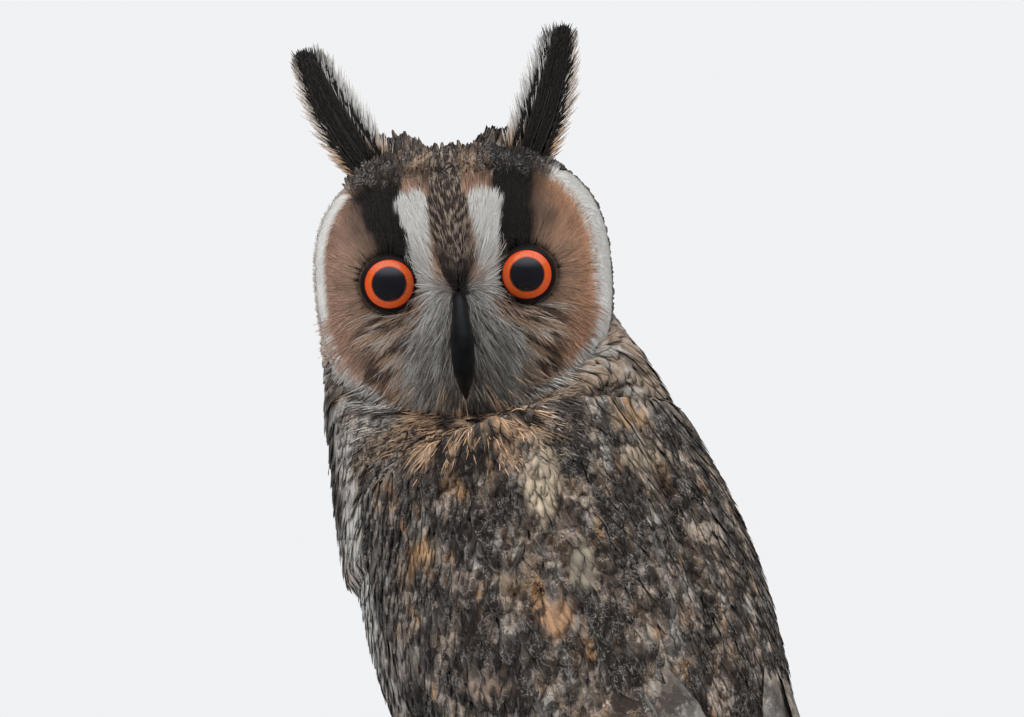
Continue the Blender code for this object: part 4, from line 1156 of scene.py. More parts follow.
def plumage(name, bar_period, dark, pale, barbs=0.5):
    """Keratin feather vanes: matt, finely ribbed by their barbs, with streaks and bars on each.

    The wavy fine lines run on from feather to feather, so that the coat reads as one mottled
    surface, and the slanting barbs give it a fine grain and a soft sheen at grazing angles.
    """
    material, tree, shader = new_material(
        name, Roughness=0.85, IOR=1.5, Specular_IOR_Level=0.15, Sheen_Weight=0.06,
        Sheen_Roughness=0.6
    )
    dark, pale = tone(dark), tone(pale)
    tint = add(tree, ATTRIBUTE, attribute_name="tint")
    marks = add(tree, ATTRIBUTE, attribute_name="marks")
    parts = add(tree, "ShaderNodeSeparateColor", marks).outputs
    streak, bars, specks, edge = parts[0], parts[1], parts[2], marks.outputs["Alpha"]
    vane = add(tree, "ShaderNodeSeparateXYZ", add(tree, "ShaderNodeUVMap", uv_map="vane")).outputs
    grain_map = add(tree, "ShaderNodeUVMap", uv_map="grain")
    grain = add(tree, "ShaderNodeSeparateXYZ", grain_map).outputs
    place = add(tree, PLACE).outputs["Object"]
    aside = add(
        tree, MATHS, add(tree, MATHS, vane[0], 2.0, -1.0, operation="MULTIPLY_ADD"),
        operation="ABSOLUTE",
    )
    blotch = add(tree, NOISE, grain_map, 0.45, 3.0, 0.6)
    wavy = add(tree, NOISE, place, 430.0, 2.0, 0.55, 2.0, 1.5)
    cluster = add(tree, NOISE, place, 170.0, 2.0, 0.5, 2.0, 0.5)
    shadow = add(tree, STEP, cluster, 0.56, 0.46, 0.0, 0.8, interpolation_type=EASE)
    colour = add(
        tree, MIX, add(tree, MATHS, shadow, specks, operation="MULTIPLY"), tint, dark,
        data_type="RGBA",
    )
    off = add(tree, MATHS, add(tree, MATHS, wavy, 0.53, operation="SUBTRACT"), operation="ABSOLUTE")
    line = add(tree, STEP, off, 0.034, 0.014, interpolation_type=EASE)
    crowd = add(tree, STEP, cluster, 0.42, 0.5, 0.05, 0.62, interpolation_type=EASE)
    line = add(
        tree, MATHS, line, add(tree, MATHS, crowd, specks, operation="MULTIPLY"),
        operation="MULTIPLY",
    )
    colour = add(tree, MIX, line, colour, pale, data_type="RGBA")
    off = add(tree, MATHS, add(tree, MATHS, wavy, 0.45, operation="SUBTRACT"), operation="ABSOLUTE")
    spots = add(tree, STEP, off, 0.03, 0.012, 0.0, 0.85, interpolation_type=EASE)
    spots = add(tree, MATHS, spots, specks, operation="MULTIPLY")
    colour = add(tree, MIX, spots, colour, dark, data_type="RGBA")
    turns = add(tree, MATHS, blotch, 0.9, operation="MULTIPLY")
    turns = add(tree, MATHS, grain[1], 1 / bar_period, turns, operation="MULTIPLY_ADD")
    turns = add(tree, MATHS, aside, 0.22, turns, operation="MULTIPLY_ADD")
    wave = add(
        tree, MATHS, add(tree, MATHS, turns, 2 * math.pi, operation="MULTIPLY"), operation="SINE"
    )
    bar = add(tree, STEP, wave, 0.1, 0.45, interpolation_type=EASE)
    bar = add(tree, MATHS, bar, bars, operation="MULTIPLY")
    colour = add(tree, MIX, bar, colour, dark, data_type="RGBA")
    lead = add(tree, MATHS, vane[1], 0.34, 0.83, operation="MULTIPLY_ADD")
    lead = add(tree, MATHS, blotch, -1.5, lead, operation="MULTIPLY_ADD")
    lead = add(tree, MATHS, lead, aside, operation="SUBTRACT")
    shaft = add(tree, STEP, lead, -0.06, 0.1, interpolation_type=EASE)
    shaft = add(tree, MATHS, shaft, streak, operation="MULTIPLY")
    colour = add(tree, MIX, shaft, colour, dark, data_type="RGBA")
    rim = add(tree, STEP, aside, 0.62, 0.98, interpolation_type=EASE)
    rim = add(tree, MATHS, rim, add(tree, STEP, blotch, 0.4, 0.56), operation="MULTIPLY")
    rim = add(tree, MATHS, rim, edge, operation="MULTIPLY")
    colour = add(tree, MIX, rim, colour, pale, data_type="RGBA")
    slant = add(tree, MATHS, aside, -2.2, grain[1], operation="MULTIPLY_ADD")
    ribs = add(
        tree, MATHS, add(tree, MATHS, slant, 2 * math.pi / barbs, operation="MULTIPLY"),
        operation="SINE",
    )
    shade = add(tree, MATHS, blotch, 0.24, 0.88, operation="MULTIPLY_ADD")
    shade = add(tree, MATHS, ribs, 0.06, shade, operation="MULTIPLY_ADD")
    colour = add(tree, VECTOR, colour, shade, operation="SCALE")
    bump = add(tree, BUMP, 0.3, 0.0001, named={"Height": ribs, "Normal": coat_normal(tree, 2.5)})
    feed(tree, shader, Base_Color=colour, Normal=bump)
    return material


def fine_plumage(name):
    """Loose hair-like feathers of the face: matt, each filament a little lighter or darker."""
    material, tree, shader = new_material(
        name, Roughness=0.85, IOR=1.5, Specular_IOR_Level=0.12, Sheen_Weight=0.08,
        Sheen_Roughness=0.5
    )
    tint = add(tree, ATTRIBUTE, attribute_name="tint")
    change = add(tree, NOISE, add(tree, "ShaderNodeUVMap", uv_map="grain"), 0.7, 2.0)
    shade = add(tree, MATHS, change, 0.3, 0.85, operation="MULTIPLY_ADD")
    colour = add(tree, VECTOR, tint, shade, operation="SCALE")
    feed(tree, shader, Base_Color=colour, Normal=coat_normal(tree, 2.0))
    return material


def down_skin():
    """The down under the coat: matt and painted darker than the feathers as shade in the gaps."""
    material, tree, shader = new_material("down_over_skin", Roughness=0.95, Specular_IOR_Level=0.1)
    tint = add(tree, ATTRIBUTE, attribute_name="tint")
    place = add(tree, PLACE).outputs["Object"]
    fluff = add(tree, NOISE, place, 900.0, 4.0)
    shade = add(tree, MATHS, fluff, 0.7, 0.3, operation="MULTIPLY_ADD")
    colour = add(tree, VECTOR, tint, shade, operation="SCALE")
    bump = add(tree, BUMP, 0.5, 0.0004, named={"Height": fluff})
    feed(tree, shader, Base_Color=colour, Normal=bump)
    return material


def wet_eye():
    """A living eye: a clear wet surface over a black pupil and an orange iris with fine fibres."""
    material, tree, shader = new_material(
        "wet_cornea_over_iris", Roughness=0.25, IOR=1.376, Coat_Weight=1.0, Coat_Roughness=0.03
    )
    place = add(tree, "ShaderNodeUVMap", uv_map="iris")
    ring = add(tree, "ShaderNodeSeparateXYZ", place).outputs
    fibre_place = add(tree, VECTOR, place, (90.0, 6.0, 1.0), operation="MULTIPLY")
    fibres = add(tree, NOISE, fibre_place, 1.0, 3.0)
    radius = add(
        tree, MATHS, fibres, 0.024, add(tree, MATHS, ring[1], 0.012, operation="SUBTRACT"),
        operation="MULTIPLY_ADD",
    )
    stops = (
        (0.0, (0.004, 0.004, 0.006)),
        (0.515, (0.006, 0.006, 0.009)),
        (0.54, linear("#7A2408")),
        (0.57, colour_of("iris") * 1.1),
        (0.68, colour_of("iris")),
        (0.745, colour_of("iris_rim")),
        (0.78, linear("#5A1606")),
        (0.80, (0.01, 0.008, 0.008)),
    )
    ramp = add(tree, "ShaderNodeValToRGB", radius)
    elements = ramp.color_ramp.elements
    for i, (at, colour) in enumerate(stops):
        element = elements[i] if i < 2 else elements.new(at)
        element.position = at
        element.color = colour4(colour)
    light = add(tree, MATHS, fibres, 0.7, 0.65, operation="MULTIPLY_ADD")
    colour = add(tree, VECTOR, ramp, light, operation="SCALE")
    feed(tree, shader, Base_Color=colour)
    return material


def bare_lid():
    """Bare black eyelid skin: fine creases, with a faint moist gloss."""
    black = tone("#0E0B0B")
    material, tree, shader = new_material("bare_lid_skin", IOR=1.45, Base_Color=black)
    crease = add(tree, NOISE, add(tree, PLACE).outputs["Object"], 1800.0, 3.0)
    rough = add(tree, MATHS, crease, 0.3, 0.45, operation="MULTIPLY_ADD")
    bump = add(tree, BUMP, 0.4, 0.0002, named={"Height": crease})
    feed(tree, shader, Roughness=rough, Normal=bump)
    return material


def horn(name, dark, light, scale=260.0):
    """Keratin horn of bill and claws: satin, with faint growth lines along it."""
    material, tree, shader = new_material(name, IOR=1.5, Specular_IOR_Level=0.35)
    place = add(tree, PLACE).outputs["Object"]
    stretched = add(tree, VECTOR, place, (1.0, 1.0, 0.25), operation="MULTIPLY")
    lines = add(tree, NOISE, stretched, scale * 4, 3.0)
    cloudy = add(tree, NOISE, place, scale, 2.0)
    share = add(tree, STEP, cloudy, 0.35, 0.7, interpolation_type=EASE)
    share = add(tree, MATHS, share, lines, operation="MULTIPLY")
    colour = add(tree, MIX, share, tone(dark), tone(light), data_type="RGBA")
    rough = add(tree, MATHS, lines, 0.25, 0.32, operation="MULTIPLY_ADD")
    bump = add(tree, BUMP, 0.25, 0.00015, named={"Height": lines})
    feed(tree, shader, Base_Color=colour, Roughness=rough, Normal=bump)
    return material


def bark():
    """Weathered deciduous bark: grey-brown ridges, darker cracks, and sawn ends with year rings."""
    material, tree, shader = new_material("weathered_bark", Roughness=0.9, Specular_IOR_Level=0.3)
    place = add(tree, PLACE).outputs["Object"]
    sides = add(tree, "ShaderNodeSeparateXYZ", place).outputs
    long = add(tree, VECTOR, place, (0.28, 1.0, 1.0), operation="MULTIPLY")
    ridge = add(tree, NOISE, long, 420.0, 5.0, 0.5, 2.0, 0.6)
    patch = add(tree, NOISE, place, 55.0, 4.0)
    high = add(tree, STEP, ridge, 0.35, 0.62, interpolation_type=EASE)
    colour = add(tree, MIX, high, tone("#2A211B"), tone("#6B5A4A"), data_type="RGBA")
    worn = add(tree, STEP, patch, 0.5, 0.66, 0.0, 0.5, interpolation_type=EASE)
    colour = add(tree, MIX, worn, colour, tone("#7C7468"), data_type="RGBA")
    middle = (0.0, 0.0, PERCH_TOP - BRANCH_RADIUS - 3 * MM)
    off = add(tree, VECTOR, place, middle, operation="SUBTRACT")
    off = add(tree, VECTOR, off, (0.0, 1.0, 1.0), operation="MULTIPLY")
    radius = add(tree, VECTOR, off, operation="LENGTH").outputs["Value"]
    wobble = add(tree, MATHS, patch, 0.004, radius, operation="MULTIPLY_ADD")
    rings = add(
        tree, MATHS, add(tree, MATHS, wobble, 2 * math.pi / 0.0016, operation="MULTIPLY"),
        operation="SINE",
    )
    rings = add(tree, STEP, rings, -0.4, 0.9)
    wood = add(tree, MIX, rings, tone("#B89468"), tone("#8E6A44"), data_type="RGBA")
    rind = add(tree, STEP, radius, 0.0118, 0.0128)
    wood = add(tree, MIX, rind, wood, tone("#4A3A2C"), data_type="RGBA")
    end = add(tree, STEP, add(tree, MATHS, sides[0], operation="ABSOLUTE"), 0.0976, 0.0979)
    colour = add(tree, MIX, end, colour, wood, data_type="RGBA")
    flat = add(tree, MATHS, end, -0.85, 1.0, operation="MULTIPLY_ADD")
    bump = add(
        tree, BUMP, 0.8, 0.0012,
        named={"Height": add(tree, MATHS, ridge, flat, operation="MULTIPLY")},
    )
    feed(tree, shader, Base_Color=colour, Normal=bump)
    return material


def walnut():
    """Turned and oiled walnut: straight dark grain, open pores and a low sheen."""
    material, tree, shader = new_material("oiled_walnut", IOR=1.5)
    place = add(tree, PLACE).outputs["Object"]
    long = add(tree, VECTOR, place, (0.06, 1.0, 1.0), operation="MULTIPLY")
    figure = add(tree, NOISE, long, 70.0, 4.0, 0.5, 2.0, 0.8)
    pores = add(tree, NOISE, long, 900.0, 2.0)
    share = add(tree, STEP, figure, 0.36, 0.64, interpolation_type=EASE)
    colour = add(tree, MIX, share, tone("#3A2416"), tone("#74502F"), data_type="RGBA")
    share = add(tree, STEP, pores, 0.5, 0.36, 0.0, 0.55, interpolation_type=EASE)
    colour = add(tree, MIX, share, colour, tone("#20130B"), data_type="RGBA")
    rough = add(tree, MATHS, pores, 0.3, 0.28, operation="MULTIPLY_ADD")
    bump = add(tree, BUMP, 0.2, 0.0002, named={"Height": pores})
    feed(tree, shader, Base_Color=colour, Roughness=rough, Normal=bump)
    return material


def brushed_steel():
    """Steel rod, brushed along its length: fine lines that stretch the highlights sideways."""
    pale = tone("#B7B8BA")
    material, tree, shader = new_material("brushed_steel", Metallic=1.0, Base_Color=pale)
    place = add(tree, PLACE).outputs["Object"]
    long = add(tree, VECTOR, place, (1.0, 1.0, 0.01), operation="MULTIPLY")
    lines = add(tree, NOISE, long, 5000.0, 2.0)
    rough = add(tree, MATHS, lines, 0.3, 0.2, operation="MULTIPLY_ADD")
    bump = add(tree, BUMP, 0.15, 0.0001, named={"Height": lines})
    feed(tree, shader, Roughness=rough, Normal=bump)
    return material


def lichen():
    """Crusty grey-green lichen: dry and matt, with a powdery mottled surface."""
    material, tree, shader = new_material("dry_lichen", Roughness=0.95, Specular_IOR_Level=0.15)
    powder = add(tree, NOISE, add(tree, PLACE).outputs["Object"], 900.0, 3.0)
    pale, deep = tone("#8F9784"), tone("#646B58")
    colour = add(tree, MIX, powder, deep, pale, data_type="RGBA")
    bump = add(tree, BUMP, 0.6, 0.0003, named={"Height": powder})
    feed(tree, shader, Base_Color=colour, Normal=bump)
    return material


# The face and head


def face_way(x, z):
    """The lie of the face's filaments, seen from the front: out from the eyes and from the bill."""
    side = np.sign(x) + (x == 0)
    s, z_mm = np.abs(x) / MM, z / MM
    eye = unit(np.stack((s - 21.4, z_mm), -1))
    bill = unit(np.stack((s * 0.8 + 0.5, z_mm + 5), -1))
    low = unit(np.stack((s * 0.55 + 1, -14 + 0 * s), -1))
    bill = unit(blend(bill, low, soft(z_mm, 2, -8) * 0.75 * soft(s, 24, 10)))
    up = np.stack((0.05 * s, 1 + 0 * s), -1)
    bill = unit(blend(bill, up, soft(z_mm, -2, 6) * soft(s, 8, 4)))
    share = soft(s, 11.5, 18) * (1 - soft(z_mm, 12, 26) * soft(s, 18, 13))
    share = share * (1 - 0.9 * soft(z_mm, -5, -10) * soft(s, 40, 28))
    way = unit(blend(bill, eye, share))
    top = unit(np.stack((0.35 * (s - 14) / 14, 1 + 0 * s), -1))
    way = unit(blend(way, top, soft(z_mm, 22, 34) * 0.8))
    way[..., 0] *= side
    return way


def face_paths(x, z, lengths, steps, rng, stray=0.12, limit=1.0):
    """Paths over the face from places seen from the front, with their normals."""
    turn = rng.normal(0, stray, len(x))
    cos, sin = np.cos(turn), np.sin(turn)
    for _ in range(8):
        xs, zs = [x], [z]
        for _ in range(steps):
            way = face_way(xs[-1], zs[-1])
            dx = way[:, 0] * cos - way[:, 1] * sin
            dz = way[:, 0] * sin + way[:, 1] * cos
            xs.append(xs[-1] + dx * lengths / steps)
            zs.append(zs[-1] + dz * lengths / steps)
        over = face_share(xs[-1], zs[-1]) > limit
        if not over.any():
            break
        lengths = np.where(over, lengths * 0.8, lengths)
    xs, zs = np.stack(xs, 1), np.stack(zs, 1)
    step = 0.4 * MM
    slope_x = (face_front(xs + step, zs) - face_front(xs - step, zs)) / (2 * step)
    slope_z = (face_front(xs, zs + step) - face_front(xs, zs - step)) / (2 * step)
    normals = unit(np.stack((-slope_x, -np.ones_like(xs), -slope_z), -1))
    return xs, zs, face_points(xs, zs, -0.3 * MM), normals


def face_roots(count, rng, keep):
    """Places on the face, seen from the front, where keep(x, z) is more than a random number."""
    x = rng.uniform(-46, 46, count) * MM
    z = rng.uniform(-45, 40, count) * MM
    kept = (face_share(x, z) < 0.96) & (keep(x, z) > rng.uniform(0, 1, count))
    return x[kept], z[kept]


def eye_distance(x, z):
    return np.hypot(np.abs(x) - EYE_SPREAD, z) / MM


def tinted_strands(
    x, z, lengths, widths, rng, lift, stray=0.12, limit=1.0, steps=3, spread=0.1, follow=0.55
):
    """Filaments on the face with their colours, as one set."""
    xs, zs, paths, normals = face_paths(x, z, lengths, steps, rng, stray, limit)
    part = strands(*in_world(paths, normals), widths, lift)
    px = (xs * follow + xs[:, :1] * (1 - follow)).repeat(3, 1).reshape(-1)
    pz = (zs * follow + zs[:, :1] * (1 - follow)).repeat(3, 1).reshape(-1)
    colours = face_colours(px, pz, face_points(px, pz))
    return painted(part, colours, UNMARKED, rng, spread)


def face_strands(rng):
    """The facial discs, the white brows, and the bristles round the bill."""
    parts = []

    def disc(x, z):
        s = np.abs(x) / MM
        return (eye_distance(x, z) > 8.7) * between(0.7, 1.0, soft(s, 18, 28))

    for _ in range(3):
        x, z = face_roots(11500, rng, disc)
        out = face_share(x, z)
        inner = soft(np.abs(x) / MM, 15, 9)
        lengths = rng.uniform(5.0, 9.0, len(x)) * MM * between(1.0, 0.6, soft(out, 0.6, 0.95))
        lengths = lengths * between(1.0, 0.6, inner)
        widths = rng.uniform(0.26, 0.42, len(x)) * MM
        parts.append(
            tinted_strands(x, z, lengths, widths, rng, (0.05, rng.uniform(0.2, 0.7, len(x))))
        )

    def brow(x, z):
        s, z_mm = np.abs(x) / MM, z / MM
        near = np.abs(s - 9.0 - 0.1 * z_mm) < 8.0
        return near * (z_mm > -12) * (z_mm < 29) * (s > 0.4) * (eye_distance(x, z) > 9.2)

    x, z = face_roots(26000, rng, brow)
    lengths = rng.uniform(3.0, 5.5, len(x)) * MM
    widths = rng.uniform(0.2, 0.34, len(x)) * MM
    soft_lift = (0.2, rng.uniform(0.4, 1.4, len(x)))
    parts.append(
        tinted_strands(x, z, lengths, widths, rng, soft_lift, 0.1, spread=0.07, follow=0.3)
    )

    def bristle(x, z):
        s, z_mm = np.abs(x) / MM, z / MM
        return (s > 1.6) * (s < 18) * (z_mm < 3) * (z_mm > -38) * soft(s, 20, 7)

    x, z = face_roots(26000, rng, bristle)
    lengths = rng.uniform(8, 14, len(x)) * MM
    widths = rng.uniform(0.2, 0.34, len(x)) * MM
    high = rng.uniform(1.2, 4.8, len(x)) * between(0.45, 1.0, soft(z / MM, 4, -12))
    parts.append(
        tinted_strands(x, z, lengths, widths, rng, (0.6, high), 0.2, 1.14, steps=4, spread=0.14)
    )

    def under_eye(x, z):
        s, z_mm = np.abs(x) / MM, z / MM
        return (s > 9) * (s < 36) * (z_mm < -7) * (z_mm > -39) * (eye_distance(x, z) > 9.0)

    x, z = face_roots(11000, rng, under_eye)
    lengths = rng.uniform(7, 12, len(x)) * MM
    widths = rng.uniform(0.26, 0.42, len(x)) * MM
    raised = (0.4, rng.uniform(0.8, 2.2, len(x)))
    parts.append(tinted_strands(x, z, lengths, widths, rng, raised, 0.16, 1.04, spread=0.14))
    return parts


def rim_path(angles, outs, backs, steps):
    """Paths that start on the face's rim and bend back round the side of the head."""
    angles = np.broadcast_to(angles, outs.shape) if angles.ndim > 1 else angles[:, None] + 0 * outs
    wide = between(0.965, 1.045, (1 + np.cos(angles)) / 2)
    reach = face_outline(angles) * outs * wide
    x, z = reach * np.cos(angles), reach * np.sin(angles)
    held = np.maximum(outs * wide, 1)
    y = -face_front(x / held * 0.999, z / held * 0.999) + backs
    points = np.stack((x, y, z), -1)
    radial = np.stack((np.cos(angles), 0 * angles, np.sin(angles)), -1)
    ahead = np.array((0, -1.0, 0))
    share = np.linspace(0.15, 0.95, steps + 1)[None, :, None]
    return points, unit(ahead * (1 - share) + radial * share)


def ruff(rng):
    """Curved feathers round the rim: a smooth pale inner fringe and a thin dark outer line."""
    parts = []
    rows = (
        # count, outs from root to tip, how far back in mm, half width, colour, lift
        (900, (0.97, 0.99, 1.003, 1.006), (0.8, 1.4, 2.8, 5.0), 0.6, "black", (0.1, 0.4)),
        (700, (0.975, 1.0, 1.006, 1.008), (1.6, 3.2, 6.0, 9.5), 0.9, "brown", (0.0, 0.5)),
    )
    for count, outs, backs, half, name, lift in rows:
        angles = rng.uniform(0, 2 * math.pi, count * 2)
        crown = np.abs(np.angle(np.exp(1j * (angles - math.pi / 2))))
        angles = angles[crown > math.radians(42)][:count]
        outs = np.array(outs)[None] + rng.normal(0, 0.006, (len(angles), 1))
        backs = np.array(backs)[None] * MM + rng.normal(0, 0.3 * MM, (len(angles), 1))
        paths, normals = rim_path(angles, outs, backs, 3)
        widths = half * MM * rng.uniform(0.7, 1.2, len(angles))
        part = vanes(
            *in_world(paths, normals), widths, rng, columns=2, lift=lift, ragged=0.15, thick=0.2
        )
        base = colour_of(name)
        v = part["shape"][:, 1]
        pale = (rng.uniform(0, 1, len(angles)) > (0.9 if name == "black" else 0.6))[part["owner"]]
        colour = blend(base * 0.8, colour_of("buff") * 0.8, soft(v, 0.5, 0.85) * pale * 0.7)
        parts.append(painted(part, colour, (0.15, 0, 0.1, 0.2), rng, 0.08))
    angles = np.radians(rng.uniform(-222, 44, 9500))
    right = np.cos(angles) > 0
    share = np.linspace(0, 1, 4)[None]
    start = (
        np.where(right, 0.915, 0.945) - 0.05 * soft(np.sin(angles), 0.0, -0.8)
        + rng.normal(0, 0.008, len(angles))
    )
    outs = between(start[:, None] + rng.uniform(0, 0.05, (len(angles), 1)), 0.998, share**0.9)
    sweep = -np.where(right, 1.0, -1.0) * 0.1 * (1 - 0.7 * soft(np.sin(angles), -0.5, -0.9))
    swept = angles[:, None] + (sweep * rng.uniform(0.6, 1.2, len(angles)))[:, None] * share
    paths, normals = rim_path(swept, outs, 0.7 * MM * share**2 + 0 * outs, 3)
    part = strands(
        *in_world(paths, normals), rng.uniform(0.26, 0.42, len(angles)) * MM,
        (0.15, rng.uniform(0.5, 1.0, len(angles))),
    )
    v = part["shape"][:, 1]
    white = colour_of("white") * (0.9 + 0.15 * cloud(part["points"], 5 * MM, 61))[:, None]
    colour = blend(colour_of("disc") * 1.05, white, soft(v, -0.1, 0.25))
    parts.append(painted(part, colour, UNMARKED, rng, 0.07))
    return parts


def forehead_vanes(rng):
    """The loose dark feathers of the front of the crown, which rise towards the ear tufts."""
    brown, black = colour_of("brown"), colour_of("black")
    buff, white = colour_of("buff"), colour_of("white")
    parts = []
    x, z = face_roots(14000, rng, lambda _, z: (z / MM > 29) * 1.0)
    lengths = rng.uniform(3.5, 5.5, len(x)) * MM
    _, _, paths, normals = face_paths(x, z, lengths, 3, rng, 0.2, 1.1)
    part = vanes(
        *in_world(paths, normals), lengths * 0.17, rng, 2, lift=(0.2, 0.9), ragged=0.2, thick=0.2
    )
    colours = face_colours(x, z, face_points(x, z))[part["owner"]]
    parts.append(painted(part, colours, (0, 0, 0.5, 0.1), rng, 0.1))
    for side in (1, -1):
        count = 520
        s = rng.uniform(6, 31, count)
        high = (
            np.interp(s, (5, 9, 14, 20, 26, 31), (38.5, 43.0, 45.5, 44.5, 41.5, 37.0))
            + rng.normal(0, 0.9, count)
        )
        deep = rng.uniform(-9, 7, count)
        high = high - 0.09 * np.maximum(0, deep + 1) ** 2 - 0.25 * np.maximum(0, -3 - deep) ** 1.2
        t = np.linspace(0, 1, 4)[None]
        rise = 11.0
        paths = np.stack(
            (
                side * (s[:, None] - 2.2 + 2.6 * t),
                (deep[:, None] + 3.5 * t**2),
                high[:, None] - rise + rise * t,
            ),
            -1,
        ) * MM
        facing = np.stack((0 * deep, np.where(deep < 0, -1.0, 1.0), 0 * deep + 0.5), -1)[:, None]
        normals = unit(np.broadcast_to(facing, paths.shape))
        part = vanes(
            *in_world(paths, normals), rng.uniform(0.8, 1.3, count) * MM, rng, 2,
            lift=(0.1, 0.5), ragged=0.25, thick=0.2,
        )
        mottle = soft(cloud(part["points"], 2.0 * MM, 71), 0.5, 0.66)
        colour = blend(between(black, brown, 0.7), between(buff, white, 0.4), mottle * 0.4)
        parts.append(painted(part, colour, (0.2, 0, 0.3, 0.1), rng, 0.12))
    return parts


def chin_strands(skin, rng):
    """Loose tufts of the chin, spread from the bill's tip over the breast and the face's edge."""
    head = world_to_head(skin.face_places) / MM
    low = (
        (head[:, 1] < -6) & (np.abs(head[:, 0] + 1) < 31) & (head[:, 2] < -36) & (head[:, 2] > -54)
    )
    roots, _ = skin.scatter(np.where(low, 0.8 * MM, 0), rng)
    count = len(roots)
    stray = rng.normal(0, 0.2, count)[:, None]

    def lie(points, normals):
        at = world_to_head(points)
        spread = np.stack((at[:, 0] / MM + 1, 0 * at[:, 1], at[:, 2] / MM + 22), -1)
        way = unit(spread) @ HEAD_AXES.T
        way = way - (way * normals).sum(-1, keepdims=True) * normals
        return way + np.cross(normals, way) * np.tan(stray)

    paths, normals = skin.walk(roots, lie, rng.uniform(5, 10, count) * MM, 4)
    part = strands(
        paths, normals, rng.uniform(0.35, 0.65, count) * MM, (0.2, rng.uniform(1.0, 2.6, count))
    )
    tint, _ = coat_colours(paths[:, 1])
    tint = tint[part["owner"]] * rng.lognormal(-0.1, 0.35, count)[part["owner"], None]
    at_root = world_to_head(paths[:, 0]) / MM
    hairy = soft(np.hypot(at_root[:, 0] + 1, at_root[:, 2] + 30), 17, 10)[part["owner"]]
    tint = blend(tint, colour_of("bristle"), hairy * 0.7 * soft(part["shape"][:, 1], 0.8, 0.2))
    return painted(part, tint)


def beard_strands(rng):
    """Filaments that hang from the face's lower edge over the neck, so that no edge shows."""
    x, z = face_roots(
        4200, rng, lambda x, z: (z / MM < -29) * (eye_distance(x, z) > 14) * soft(z / MM, -28, -34)
    )
    count = len(x)
    root = face_points(x, z)
    way = np.stack((x / MM + 1, 0 * x, z / MM + 18), -1)
    way = unit(way + rng.normal(0, 3.0, way.shape))
    way[:, 1] = rng.uniform(-0.12, 0.3, count)
    k = np.linspace(0, 1, 5)[None, :, None]
    paths = root[:, None] + way[:, None] * (rng.uniform(6, 12, count) * MM)[:, None, None] * k
    paths[..., 1] -= 1.2 * MM * np.sin(math.pi * k[..., 0]) + 0.3 * MM
    normals = np.broadcast_to(np.array((0, -1.0, 0)), paths.shape)
    part = strands(*in_world(paths, normals), rng.uniform(0.26, 0.45, count) * MM, (0.3, 0.9))
    owner, v = part["owner"], part["shape"][:, 1]
    start = face_colours(x, z, root)[owner]
    turn = np.arctan2(x / MM + 1, -z / MM - 24) * 9
    ray = cloud(np.stack((turn, np.hypot(x, z) / MM * 0.1, 0 * turn), -1), 1.0, 81)
    end = blend(
        colour_of("brown") * 0.45, between(colour_of("buff"), colour_of("ochre"), 0.3),
        soft(ray, 0.44, 0.54),
    )
    colour = blend(start, end[owner], soft(v, 0.15, 0.7))
    return painted(part, colour, UNMARKED, rng, 0.18)


def head_lie(points):
    """On the head the coat runs back from the face and down; lower down it runs along the body."""
    head = world_to_head(points)
    x, y, z = (head[..., i] / MM for i in range(3))
    back = np.stack((0.25 * np.sign(x), np.ones_like(y), -0.25 - 0.6 * soft(y, -5, 30)), -1)
    chin = np.stack(((x + 1) / 22, 0.1 + 0 * y, -np.ones_like(y)), -1)
    way = blend(back, chin, soft(z, -22, -40))
    way = unit(way) @ HEAD_AXES.T
    near = soft(np.linalg.norm(head - np.array((0, 0, 4 * MM)), axis=-1) / MM, 66, 50)
    down = -ALONG + 0.25 * np.array((0, 0, -1.0))
    return unit(blend(np.broadcast_to(down, way.shape), way, near))


def coat(
    skin, spacing, length, half_width, rng, lift, steps=3, columns=2, stray=0.12, spread=0.06,
    **shape,
):
    """Small feathers over part of the skin, coloured by the places that they cover."""
    roots, _ = skin.scatter(spacing, rng)
    count = len(roots)
    lengths = length * rng.uniform(0.8, 1.15, count)
    turn = rng.normal(0, stray, count)[:, None]

    def lie(points, normals):
        way = unit(head_lie(points))
        way = way - (way * normals).sum(-1, keepdims=True) * normals
        return way + np.cross(normals, way) * np.tan(turn)

    paths, normals = skin.walk(roots, lie, lengths, steps)
    widths = half_width * rng.uniform(0.85, 1.15, count)
    part = vanes(
        paths, normals, widths, rng, columns, lift=lift, tilt=rng.normal(0, 0.03, count), hug=0.6,
        **shape
    )
    tint, marks = coat_colours(part["points"])
    return painted(part, tint, marks, rng, spread)


# Wings and tail


WING_TIERS = {
    # count, first and last root, first and last tip as (along mm, degrees), half width,
    # lift of the roots and of the tips in mm, tip pull, bars
    "primary": (9, (-40, 94), (-44, 60), (-198, 31), (-146, 24), 6.4, (0.2, 4.0), 14, 0.9),
    "secondary": (9, (-30, 88), (-18, 50), (-134, 39), (-104, 22), 7.6, (0.2, 4.6), 0, 0.85),
    "tertial": (5, (-20, 46), (-10, 28), (-102, 22), (-70, 13), 8.8, (0.1, 4.6), 0, 0.6),
    "primary_covert": (6, (-16, 112), (-20, 96), (-56, 98), (-64, 82), 5.4, (0.2, 2.2), 0, 0.6),
    "alula": (3, (4, 119), (-2, 111), (-28, 113), (-37, 104), 4.6, (0.2, 2.0), 0, 0.6),
    "greater_covert": (13, (-18, 100), (-8, 42), (-54, 84), (-44, 31), 5.6, (0.1, 2.2), 0, 0.5),
}


